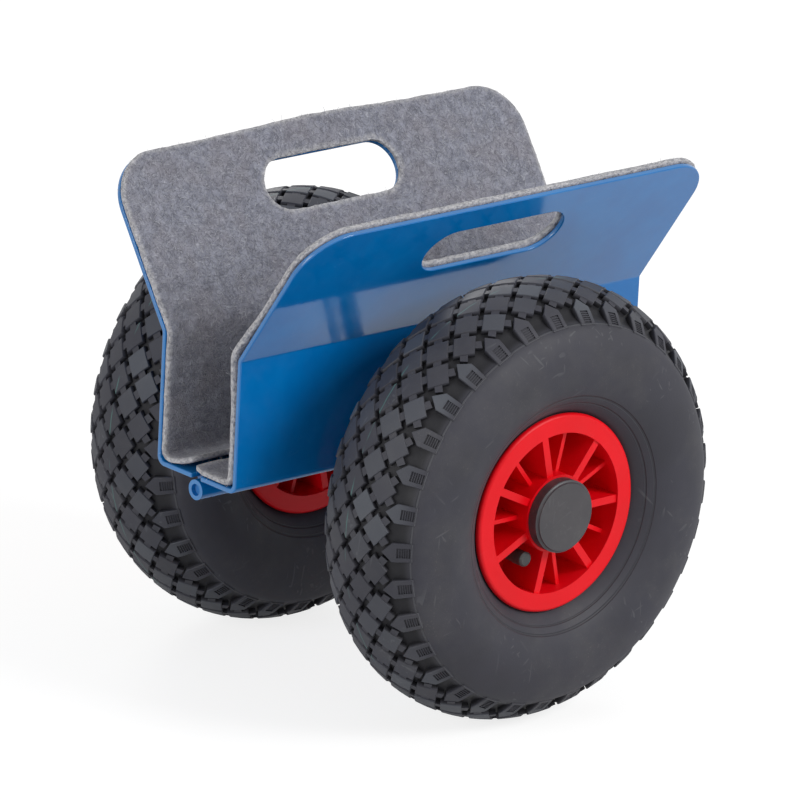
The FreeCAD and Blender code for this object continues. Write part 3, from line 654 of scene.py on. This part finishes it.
def shoulder_lug():
    """House-shaped lug that runs down the shoulder, with a ribbed window sunk in its lower half."""
    shoulder = LUG_APEX + LUG_HALF
    outline = [(0, LUG_APEX), (LUG_HALF, shoulder), (LUG_HALF, WINDOW_START), (LUG_HALF, WINDOW_END),
               (LUG_HALF, LUG_END), (-LUG_HALF, LUG_END), (-LUG_HALF, WINDOW_END),
               (-LUG_HALF, WINDOW_START), (-LUG_HALF, shoulder)]
    count = len(outline)
    points = [(x, y, TREAD_FOOT) for x, y in outline] + [(x, y, LUG_EDGE) for x, y in outline]
    points += [(x * TOP_INSET, y * TOP_INSET, 0.0) for x, y in outline]
    faces = band(0, count, count) + band(count, 2 * count, count)
    t, w = 2 * count, len(points)
    window = [(WINDOW_HALF, WINDOW_START), (WINDOW_HALF, WINDOW_END),
              (-WINDOW_HALF, WINDOW_END), (-WINDOW_HALF, WINDOW_START)]
    points += [(x, y, 0.0) for x, y in window] + [(x, y, WINDOW_FLOOR) for x, y in window]
    faces += [(t, t + 1, t + 2, w, w + 3, t + 7, t + 8), (t + 2, t + 3, w + 1, w),
              (t + 3, t + 4, t + 5, t + 6, w + 2, w + 1), (t + 6, t + 7, w + 3, w + 2)]
    for i in range(4):
        j = (i + 1) % 4
        faces.append((w + 4 + j, w + 4 + i, w + i, w + j))
    faces.append((w + 4, w + 5, w + 6, w + 7))
    pitch = (WINDOW_END - WINDOW_START) / (WINDOW_RIBS + 1)
    for rib in range(WINDOW_RIBS):
        middle = WINDOW_START + pitch * (rib + 1)
        outline = rectangle(WINDOW_HALF, middle - RIB_HALF, middle + RIB_HALF)
        prism(points, faces, outline, WINDOW_FLOOR, RIB_TOP)
    return shape_object("shoulder_lug", points, faces)


def joined(tree, *parts):
    node = tree.nodes.new("GeometryNodeJoinGeometry")
    for part in parts:
        tree.links.new(part, node.inputs[0])
    return node.outputs[0]


def stored(tree, shape, name, value, domain):
    """The shape with a value kept under a name at each of its points or instances."""
    return made(tree, "GeometryNodeStoreNamedAttribute", {
        "Geometry": shape, "Name": name, "Value": value,
    }, data_type="FLOAT", domain=domain)


def random_value(tree, seed, low=0.0, high=1.0):
    values = {"Seed": seed, 2: low, 3: high}
    return put(tree, "FunctionNodeRandomValue", values, data_type="FLOAT").outputs[1]


def shape_of(tree, piece):
    return put(tree, "GeometryNodeObjectInfo", {"Object": piece}).outputs["Geometry"]


def finished(tree, shape, material, out):
    """Gives the shape its material and makes it the tree's result."""
    done = made(tree, "GeometryNodeSetMaterial", {"Geometry": shape, "Material": material})
    tree.links.new(done, out[0])
    return tree


def make_tread_tree():
    """Lays blocks, bars and lugs out flat over the unrolled crown, then wraps them and the carcass round."""
    tree, given, out = geometry_group("tyre_tread", [
        ("Blocks around", WHOLE), ("Column step", VALUE), ("Crown radius", VALUE),
        ("Groove depth", VALUE), ("Groove end", VALUE), ("Tread end", VALUE), ("Turn", VALUE),
        ("Steps around", WHOLE), ("Steps across", WHOLE),
        ("Block", OBJECT), ("Bar", OBJECT), ("Lug", OBJECT), ("Rubber", MATERIAL),
    ])
    outline = made(tree, "GeometryNodeMeshToCurve", {"Mesh": given["Geometry"]})
    outline_length = made(tree, "GeometryNodeCurveLength", {0: outline})
    girth = times(tree, given["Crown radius"], 2 * math.pi)
    pitch = calc(tree, "DIVIDE", girth, given["Blocks around"])

    def rows(columns, first_step, spacing, count, offset):
        """Points in columns across the tread; the first is so many column steps from the middle."""
        across = times(tree, given["Column step"], spacing * (columns - 1))
        run = calc(tree, "SUBTRACT", girth, calc(tree, "DIVIDE", girth, count))
        grid = made(tree, "GeometryNodeMeshGrid", {
            "Size X": run, "Size Y": across, "Vertices X": count, "Vertices Y": columns,
        })
        aside = times(tree, given["Column step"], first_step + spacing * (columns - 1) / 2)
        shift = vector(tree, {0: times(tree, pitch, offset), 1: aside})
        return made(tree, "GeometryNodeTransform", {"Geometry": grid, "Translation": shift})

    def stood(points, name, rotation, seed):
        """One shape at each point, each with its own wear."""
        pieces = made(tree, "GeometryNodeInstanceOnPoints", {
            "Points": points, "Instance": shape_of(tree, given[name]), "Rotation": rotation,
        })
        return stored(tree, pieces, "block_wear", random_value(tree, seed), "INSTANCE")

    place = made(tree, "GeometryNodeInputPosition")
    flat = axes(tree, place)
    around = given["Blocks around"]
    upright = vector(tree, {})
    even = stood(rows(3, -2, 2, around, 0.0), "Block", upright, 1)
    odd = stood(rows(2, -1, 2, around, 0.5), "Block", upright, 2)
    half_turn = times(tree, calc(tree, "LESS_THAN", flat[1], 0.0), math.pi)
    lugs = stood(rows(2, -3, 6, around, 0.5), "Lug", vector(tree, {2: half_turn}), 3)
    bar_columns = 6
    index = made(tree, "GeometryNodeInputIndex")
    step = calc(tree, "FLOOR", calc(tree, "DIVIDE", calc(tree, "ADD", index, 0.5), bar_columns))
    column = calc(tree, "FLOORED_MODULO", index, bar_columns)
    odd_place = calc(tree, "FLOORED_MODULO", calc(tree, "ADD", step, column), 2)
    slant = calc(tree, "ARCTAN2", given["Column step"], calc(tree, "DIVIDE", pitch, 2))
    signed = times(tree, slant, calc(tree, "SUBTRACT", 1, times(tree, odd_place, 2)))
    twice = times(tree, around, 2)
    bars = stood(rows(bar_columns, -2.5, 1, twice, 0.0), "Bar", vector(tree, {2: signed}), 4)
    pieces = joined(tree, even, odd, lugs, bars)
    flat_tread = made(tree, "GeometryNodeRealizeInstances", {0: pieces})

    sheet_grid = made(tree, "GeometryNodeMeshGrid", {
        "Size X": girth, "Size Y": outline_length,
        "Vertices X": given["Steps around"], "Vertices Y": given["Steps across"],
    })
    depth = spread(tree, calc(tree, "ABSOLUTE", flat[1]), given["Groove end"], given["Tread end"],
                   times(tree, given["Groove depth"], -1), 0.0)
    carcass = made(tree, "GeometryNodeSetPosition", {
        "Geometry": sheet_grid, "Offset": vector(tree, {2: depth}),
    })

    along = calc(tree, "ADD", flat[1], calc(tree, "DIVIDE", outline_length, 2))
    sample = put(tree, "GeometryNodeSampleCurve", {
        "Curves": outline, "Length": along,
    }, mode="LENGTH").outputs
    foot, heading = axes(tree, sample["Position"]), axes(tree, sample["Tangent"])
    across = calc(tree, "SUBTRACT", foot[0], times(tree, heading[1], flat[2]))
    radius = calc(tree, "ADD", foot[1], times(tree, heading[0], flat[2]))
    angle = calc(tree, "ADD", calc(tree, "DIVIDE", flat[0], given["Crown radius"]), given["Turn"])
    wrapped = vector(tree, {
        0: times(tree, radius, calc(tree, "SINE", angle)), 1: across,
        2: times(tree, radius, calc(tree, "COSINE", angle)),
    })
    marked = stored(tree, joined(tree, flat_tread, carcass), "tread_height", flat[2], "POINT")
    whole = made(tree, "GeometryNodeSetPosition", {"Geometry": marked, "Position": wrapped})
    closed = made(tree, "GeometryNodeMergeByDistance", {"Geometry": whole, "Distance": MERGE_DISTANCE})
    return finished(tree, closed, given["Rubber"], out)


def add_tree(piece, tree, values):
    """Gives a piece a geometry tree, with the tree's inputs set by their names."""
    modifier = piece.modifiers.new(tree.name, "NODES")
    modifier.node_group = tree
    for item in tree.interface.items_tree:
        if item.in_out == "INPUT" and item.name in values:
            modifier[item.identifier] = values[item.name]
    return modifier


def make_tyres():
    """Tyres with their tread, wrapped round from the outline."""
    tree = make_tread_tree()
    block, bar, lug = tread_block(), tread_bar(), shoulder_lug()
    outline = tyre_outline()
    for name, side in SIDES.items():
        edges = [(i, i + 1) for i in range(len(outline) - 1)]
        guide = shape_object("tyre_outline", [(y, r, 0) for y, r in outline], [], edges)
        add_tree(guide, tree, {
            "Blocks around": BLOCKS_AROUND, "Column step": COLUMN_STEP, "Crown radius": WHEEL_RADIUS,
            "Groove depth": GROOVE_DEPTH, "Groove end": GROOVE_END, "Tread end": TREAD_END,
            "Turn": TREAD_TURN[name],
            "Steps around": BLOCKS_AROUND * STEPS_PER_BLOCK + 1, "Steps across": STEPS_ACROSS,
            "Block": block, "Bar": bar, "Lug": lug, "Rubber": tyre_rubber[name],
        })
        tyre = plain_copy(guide, f"{name}_tyre_rubber")
        drop(guide)
        tyre.data.transform(Matrix.Translation((0, side * HALF_SPACING, AXLE_HEIGHT)))
        shade_by_angle(tyre.data, SMOOTH_UP_TO["tyre"])
        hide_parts(f"{name}_tyre")
        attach(tyre, f"{name}_wheel")
    for shape in (block, bar, lug):
        drop(shape)


def corner_arc(before, corner, after, radius):
    """Centre of the arc that rounds a corner, the spoke to the arc's first point, and its turn."""
    back, ahead = (before - corner).normalized(), (after - corner).normalized()
    half = back.angle(ahead) / 2
    reach = radius / math.tan(half)
    centre = corner + (back + ahead).normalized() * (radius / math.sin(half))
    first, last = corner + back * reach - centre, corner + ahead * reach - centre
    return centre, first, first.angle_signed(last)


def arc_points(centre, first, turn, steps):
    return [centre + Matrix.Rotation(-turn * k / steps, 2) @ first for k in range(steps + 1)]


def felt_line():
    """Middle of the felt from the hinge edge to the top: distance, out, up and the face's direction."""
    wall = CHANNEL_HALF - FELT_DEPTH
    bend_up = WALL_HEIGHT + math.tan(FLARE_ANGLE / 2) * FELT_DEPTH
    top = (CHANNEL_HALF + FLARE_LENGTH * math.sin(FLARE_ANGLE) - math.cos(FLARE_ANGLE) * FELT_DEPTH,
           WALL_HEIGHT + FLARE_LENGTH * math.cos(FLARE_ANGLE) + math.sin(FLARE_ANGLE) * FELT_DEPTH)
    corners = [Vector(p) for p in ((FLANGE_EDGE, FELT_DEPTH), (wall, FELT_DEPTH), (wall, bend_up), top)]
    line = [corners[0]]
    for i, radius in ((1, FELT_FLOOR_BEND), (2, FELT_FLARE_BEND)):
        line += arc_points(*corner_arc(*corners[i - 1:i + 2], radius), BEND_STEPS)
    line.append(corners[3])
    points = np.array([tuple(p) for p in line])
    distance = np.concatenate([[0], np.cumsum(np.hypot(*np.diff(points, axis=0).T))])
    fine = np.linspace(0, distance[-1], LINE_SAMPLES)
    out = np.interp(fine, distance, points[:, 0])
    up = np.interp(fine, distance, points[:, 1])
    heading = np.stack([np.gradient(out), np.gradient(up)], axis=1)
    heading /= np.linalg.norm(heading, axis=1)[:, None]
    return fine, out, up, -heading[:, 1], heading[:, 0]


def rounded_loop(corners, radii, step):
    """Closed loop of points through corners that are rounded, about a step apart."""
    loop = []
    count = len(corners)
    for i, radius in enumerate(radii):
        before, corner, after = (Vector(corners[(i + k) % count]) for k in (-1, 0, 1))
        centre, first, turn = corner_arc(before, corner, after, radius)
        loop += arc_points(centre, first, turn, max(1, round(abs(turn) * radius / step)))
    spaced = []
    for i, point in enumerate(loop):
        ahead = loop[(i + 1) % len(loop)]
        parts = max(1, round((ahead - point).length / step))
        spaced += [point.lerp(ahead, k / parts) for k in range(parts)]
    return spaced


def slot_halves():
    """Half the length and half the width of the slot in the felt, which hangs over the sheet's."""
    return SLOT_LENGTH / 2 - SLOT_OVERHANG, SLOT_WIDTH / 2 - SLOT_OVERHANG


def on_cut(x, y, low, top, margin):
    """Whether a place is on the flat cut of a liner, this far inside its outline and outside its slot."""
    half = PLATE_LENGTH / 2
    if not (-half + margin < x < half - margin and low + margin < y < top - margin):
        return False
    corner = max(abs(x) - (half - CORNER_RADIUS), 0), max(y - (top - CORNER_RADIUS), 0)
    if math.hypot(*corner) > CORNER_RADIUS - margin:
        return False
    reach, tall = slot_halves()
    return math.hypot(max(abs(x) - (reach - tall), 0), y - (top - FLARE_LENGTH + SLOT_RISE)) > tall + margin


def make_felt_cut(low, top):
    """Flat cut of one liner as triangles: points, faces, boundary edges and each point's way to an edge."""
    step = FELT_STEP
    half = PLATE_LENGTH / 2
    corner_radii = [CUT_CORNER, CUT_CORNER, CORNER_RADIUS, CORNER_RADIUS]
    outer = rounded_loop(rectangle(half, low, top), corner_radii, step)
    slot_up = top - FLARE_LENGTH + SLOT_RISE
    reach, tall = slot_halves()
    slot_corners = rectangle(reach, slot_up - tall, slot_up + tall)
    slot = rounded_loop(slot_corners, [tall * SLOT_ROUNDING] * 4, step)
    edges, points = [], []
    for loop in (outer, slot):
        first = len(points)
        for p in loop:
            fine = noise.noise_vector((p.x * FINE_RAGS, p.y * FINE_RAGS, first * 0.7))
            broad = noise.noise_vector((p.x * BROAD_RAGS, p.y * BROAD_RAGS, first * 0.3 + 5))
            ragged = fine * RAG_DEPTH * MM + broad * RAG_DEPTH * MM
            points.append(Vector((p.x + ragged.x, p.y + ragged.y)))
        edges += [(first + i, first + (i + 1) % len(loop)) for i in range(len(loop))]
    border = kdtree.KDTree(len(points))
    for i, p in enumerate(points):
        border.insert((p.x, p.y, 0), i)
    border.balance()
    across, upward = round(2 * half / step), round((top - low) / step)
    for i in range(across + 1):
        for j in range(upward + 1):
            shake = noise.noise_vector((i * 1.7, j * 1.3, 4.0)) * step * SHAKE
            x, y = -half + 2 * half * i / across + shake.x, low + (top - low) * j / upward + shake.y
            if on_cut(x, y, low, top, step * EDGE_CLEARANCE):
                points.append(Vector((x, y)))
    flat, _, faces, _, _, _ = geometry.delaunay_2d_cdt(points, edges, [], 0, 1e-6)
    kept = []
    for face in faces:
        corners = [flat[i] for i in face]
        middle = sum(corners, Vector((0, 0))) / 3
        small = longest_side(corners) < LONGEST_SIDE * step
        if small and on_cut(middle.x, middle.y, low, top, -CUT_TOLERANCE):
            kept.append(tuple(face))
    sides = {(a, b) for face in kept for a, b in zip(face, face[1:] + face[:1])}
    rim = [(a, b) for a, b in sides if (b, a) not in sides]
    edge_way = [border.find((p.x, p.y, 0))[2] for p in flat]
    return flat, kept, sorted(rim), edge_way


def felt_layer(name, line, top):
    """The function that lays a point of the flat cut on its jaw."""
    distance, out, up, face_out, face_up = line
    side, length, overhang = SIDES[name], FLAP_LENGTH[name], FLAP_OVERHANG[name]

    def at(x, p, h):
        """Where a point of the cut lies: along, up the line, and off its middle towards the board."""
        here = min(max(p, 0), distance[-1])
        y, z = np.interp(here, distance, out), np.interp(here, distance, up)
        ny, nz = np.interp(here, distance, face_out), np.interp(here, distance, face_up)
        over = p - here
        if name == "left" and p > top - STRIP_ABOVE_SLOT:
            slack = (p - top + STRIP_ABOVE_SLOT) / STRIP_ABOVE_SLOT * math.exp(-(x / STRIP_HALF) ** 2)
            over += STRIP_STRETCH * slack
            h += STRIP_LIFT * slack
        if name == "right":
            near_bend = math.exp(-((p - top + FLARE_LENGTH) / BEND_REACH_UP) ** 2)
            h += BEND_LIFT * near_bend * math.exp((x - PLATE_LENGTH / 2) / BEND_REACH_ALONG)
        y, z = y + over * nz, z - over * ny
        if p < length:
            curl = ((length - p) / (length + overhang)) ** FLAP_POWER
            uneven = FLAP_UNEVENNESS * noise.noise((x * FLAP_WAVES, 3.0, FELT_SEED[name]))
            h += FLAP_LIFT[name] * curl * (1 + uneven)
        return (side * x, side * (y + ny * h), FLOOR_HEIGHT + z + nz * h)

    return at


def felt_body(name, line, low, top):
    """A felt's points and their fray, its polygons, and where each polygon's corners lie on the cut."""
    at, seed, half = felt_layer(name, line, top), FELT_SEED[name], FELT_THICKNESS / 2
    flat, faces, rim, edge_way = make_felt_cut(low, top)
    points, fray = [], []
    count = len(flat)
    for level in (1, -1):
        for p, way in zip(flat, edge_way):
            lumps = sum(noise.noise((p.x * waves, p.y * waves, seed)) * depth * MM for waves, depth in LUMPS)
            soft = max(0.0, 1 - way / SOFT_WIDTH)
            h = half - FACE_DROP * soft ** 2 + lumps if level > 0 else -half + BACK_LIFT * soft ** 2
            points.append(at(p.x, p.y, h))
            fray.append(soft)
    polygons = faces + [tuple(i + count for i in face[::-1]) for face in faces]
    cut = [[tuple(flat[i % count]) for i in face] for face in polygons]
    beside = {}
    for a, b in rim:
        beside.setdefault(a, []).append(b)
        beside.setdefault(b, []).append(a)
    ring, outward = {}, {}
    for i, near in beside.items():
        along = flat[near[-1]] - flat[near[0]]
        away = Vector((along.y, -along.x)).normalized()
        probe = flat[i] + away * RIM_PROBE * MM
        if on_cut(probe.x, probe.y, low, top, 0.0):
            away.negate()
        swollen = flat[i] + away * RIM_SWELL * MM
        ring[i], outward[i] = len(points), away
        points.append(at(swollen.x, swollen.y, RIM_LIFT))
        fray.append(1.0)
    for a, b in rim:
        polygons += [(b, a, ring[a], ring[b]), (ring[b], ring[a], a + count, b + count)]
        for first, second in ((0.0, half), (half, FELT_THICKNESS)):
            places = [(b, first), (a, first), (a, second), (b, second)]
            cut.append([tuple(flat[i] + outward[i] * way) for i, way in places])
    return points, fray, polygons, cut


def make_felts():
    """Felt liners that are thickened from their flat cut, with loose hairs on them."""
    line = felt_line()
    top = line[0][-1] + FELT_OVER_TOP
    hair_tree = make_hair_tree()
    noise.seed_set(NOISE_SEED)
    for name in SIDES:
        low = -FLAP_OVERHANG[name]
        points, fray, polygons, cut = felt_body(name, line, low, top)
        felt = shape_object(f"{name}_felt_lining", points, polygons)
        mesh = felt.data
        mesh.attributes.new("fray", "FLOAT", "POINT").data.foreach_set("value", fray)
        layer = mesh.uv_layers.new(name="felt_cut")
        for polygon, places in zip(mesh.polygons, cut):
            for loop, place in zip(polygon.loop_indices, places):
                layer.data[loop].uv = place
        mesh.materials.append(felt_cloth)
        shade_by_angle(mesh, SMOOTH_UP_TO["felt"])
        hairs = make_hairs(felt, name, hair_tree)
        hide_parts(f"{name}_felt_liner")
        for piece in (felt, hairs):
            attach(piece, f"{name}_jaw")


def flatten_shading(mesh, least):
    """Gives the faces that are at least this broad, and all that lie level with them, one direction each."""
    broad = []
    for polygon in mesh.polygons:
        corners = [mesh.vertices[i].co for i in polygon.vertices]
        if polygon.area / longest_side(corners) > least:
            broad.append((polygon.normal.copy(), polygon.normal.dot(polygon.center)))
    flat = {}
    for polygon in mesh.polygons:
        for facing, reach in broad:
            level = abs(facing.dot(polygon.center) - reach) < LEVEL_WITHIN
            if level and polygon.normal.dot(facing) > SAME_WAY:
                flat.update((i, facing) for i in polygon.vertices)
                break
    found = [corner.vector.copy() for corner in mesh.corner_normals]
    mesh.normals_split_custom_set([flat.get(loop.vertex_index, found[loop.index]) for loop in mesh.loops])


def make_plates():
    """Bent sheets whose cut edges are rounded over by the coat."""
    for name in SIDES:
        soft = bmesh.new()
        soft.from_mesh(nodes[f"{name}_jaw_plate"].data)
        bmesh.ops.remove_doubles(soft, verts=soft.verts, dist=WELD_DISTANCE)
        bmesh.ops.dissolve_limit(soft, angle_limit=FLAT_ANGLE, verts=soft.verts, edges=soft.edges)
        cut_edges = [edge for edge in soft.edges if edge.is_manifold and edge.calc_face_angle() > SHARP_CUT]
        bmesh.ops.bevel(soft, geom=cut_edges, offset=COAT_ROUNDING, segments=3, profile=0.5, affect="EDGES")
        mesh = bpy.data.meshes.new(f"{name}_coated_plate")
        soft.to_mesh(mesh)
        soft.free()
        mesh.materials.clear()
        mesh.materials.append(plate_coat[name])
        shade_by_angle(mesh, SMOOTH_UP_TO["plate"])
        flatten_shading(mesh, BROAD_FACE)
        plate = new_piece(f"{name}_coated_plate", mesh)
        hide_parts(f"{name}_jaw_plate")
        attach(plate, f"{name}_jaw")


def make_hair_tree():
    """Scatters bent hairs over a felt, flat on its faces and more of them along its cut edges."""
    tree, given, out = geometry_group("felt_hairs", [
        ("Hairs per square metre", VALUE), ("Seed", WHOLE), ("Hair", OBJECT), ("Finish", MATERIAL),
    ])
    seed = given["Seed"]
    fray = made(tree, "GeometryNodeInputNamedAttribute", {"Name": "fray"}, data_type="FLOAT")
    more = calc(tree, "MULTIPLY_ADD", fray, HAIRS_MORE_AT_EDGE, 1.0)
    scatter = put(tree, "GeometryNodeDistributePointsOnFaces", {
        "Mesh": given["Geometry"], "Density": times(tree, given["Hairs per square metre"], more),
        "Seed": seed,
    }).outputs
    spin = random_value(tree, seed, 0.0, 2 * math.pi)
    size = random_value(tree, calc(tree, "ADD", seed, SIZE_SEED), *HAIR_SIZES)
    lift = random_value(tree, calc(tree, "ADD", seed, LIFT_SEED), *HAIR_LIFTS)
    lean = made(tree, "FunctionNodeRotateRotation", {
        0: scatter["Rotation"], 1: vector(tree, {1: lift, 2: spin}),
    }, rotation_space="LOCAL")
    stood = made(tree, "GeometryNodeInstanceOnPoints", {
        "Points": scatter["Points"], "Instance": shape_of(tree, given["Hair"]),
        "Rotation": lean, "Scale": size,
    })
    toned = stored(tree, stood, "tone", random_value(tree, calc(tree, "ADD", seed, TONE_SEED)), "INSTANCE")
    real = made(tree, "GeometryNodeRealizeInstances", {0: toned})
    return finished(tree, real, given["Finish"], out)


def hair_shape():
    """One bent hair as a thin ribbon that rises a little and comes down again."""
    points = []
    for (x, y, z), half in zip(HAIR_LINE, HAIR_HALF_WIDTHS):
        points += [(x * MM, (y - half) * MM, z * MM), (x * MM, (y + half) * MM, z * MM)]
    faces = [(i, i + 2, i + 3, i + 1) for i in range(0, len(points) - 2, 2)]
    return shape_object("felt_hair", points, faces)


def make_hairs(felt, name, tree):
    """The loose hairs of one felt as a piece of their own."""
    hair = hair_shape()
    modifier = add_tree(felt, tree, {
        "Hairs per square metre": HAIRS_PER_SQUARE_METRE, "Seed": HAIR_SEED[name], "Hair": hair,
        "Finish": felt_hair,
    })
    hairs = plain_copy(felt, f"{name}_felt_hairs")
    felt.modifiers.remove(modifier)
    drop(hair)
    return hairs


def make_floor():
    """White floor that keeps a soft shadow."""
    corners = [(x, y, 0) for x, y in rectangle(FLOOR_REACH, -FLOOR_REACH, FLOOR_REACH)]
    floor = shape_object("studio_floor", corners, [(0, 1, 2, 3)])
    material = bpy.data.materials.new("studio_white")
    material.use_nodes = True
    tree = material.node_tree
    tree.nodes.clear()
    path = tree.nodes.new("ShaderNodeLightPath").outputs
    through = calc(tree, "MAXIMUM", path["Is Camera Ray"], path["Is Transmission Ray"])

    def matt(grey):
        return made(tree, "ShaderNodeBsdfDiffuse", {"Color": (grey, grey, grey, 1)})

    def paper(grey, strength):
        glow = made(tree, "ShaderNodeEmission", {"Strength": strength})
        return made(tree, "ShaderNodeAddShader", {0: matt(grey), 1: glow})

    def chosen(share, first, second):
        return made(tree, "ShaderNodeMixShader", {0: share, 1: first, 2: second})

    mirrored = chosen(path["Is Glossy Ray"], matt(0.8), paper(0.6, 0.4))
    shown = chosen(through, mirrored, paper(0.3, 0.8))
    put(tree, "ShaderNodeOutputMaterial", {"Surface": shown})
    floor.data.materials.append(material)


def make_room():
    """Even white room that is brighter to look at than the light it gives."""
    world = bpy.data.worlds.new("studio_room")
    world.use_nodes = True
    scene.world = world
    tree = world.node_tree
    tree.nodes.clear()
    path = tree.nodes.new("ShaderNodeLightPath").outputs
    seen = strongest(tree, [path[f"Is {kind} Ray"] for kind in ("Camera", "Glossy", "Transmission")])
    strength = spread(tree, seen, 0, 1, ROOM_LIGHT, ROOM_SEEN, "LINEAR")
    glow = made(tree, "ShaderNodeBackground", {"Color": (1, 1, 1, 1), "Strength": strength})
    put(tree, "ShaderNodeOutputWorld", {"Surface": glow})


def make_lamps():
    """Large soft lamps that all point at the middle of the object."""
    for name, place, size, power in LAMPS:
        data = bpy.data.lights.new(name, "AREA")
        data.shape = "SQUARE"
        data.size = size
        data.energy = power
        lamp = bpy.data.objects.new(name, data)
        lamp.location = place
        lamp.rotation_euler = (LAMP_AIM - Vector(place)).to_track_quat("-Z", "Y").to_euler()
        scene.collection.objects.link(lamp)


def make_camera():
    """Long lens that stands where the photograph was taken, with the picture's slight roll."""
    turn, rise, roll = (math.radians(a) for a in (-42.197, 18.193, 2.891))
    distance, pixels, middle = 5.5138, 9532.27, (397.04, 449.43)
    back = Vector((math.sin(turn) * math.cos(rise), -math.cos(turn) * math.cos(rise), math.sin(rise)))
    right = Vector((math.cos(turn), math.sin(turn), 0))
    up = back.cross(right)
    rolled = right * math.cos(roll) + up * math.sin(roll)
    upright = up * math.cos(roll) - right * math.sin(roll)
    data = bpy.data.cameras.new("camera")
    picture = 800
    data.lens = pixels * data.sensor_width / picture
    data.shift_x = (picture / 2 - middle[0]) / picture
    data.shift_y = (middle[1] - picture / 2) / picture
    camera = bpy.data.objects.new("camera", data)
    camera.matrix_world = Matrix.Translation(Vector((0, 0, AXLE_HEIGHT)) + back * distance) @ Matrix(
        (rolled, upright, back)).transposed().to_4x4()
    scene.collection.objects.link(camera)
    scene.camera = camera


make_tyres()
make_plates()
make_felts()
make_floor()
make_room()
make_lamps()
make_camera()
scene.view_settings.view_transform = "Standard"
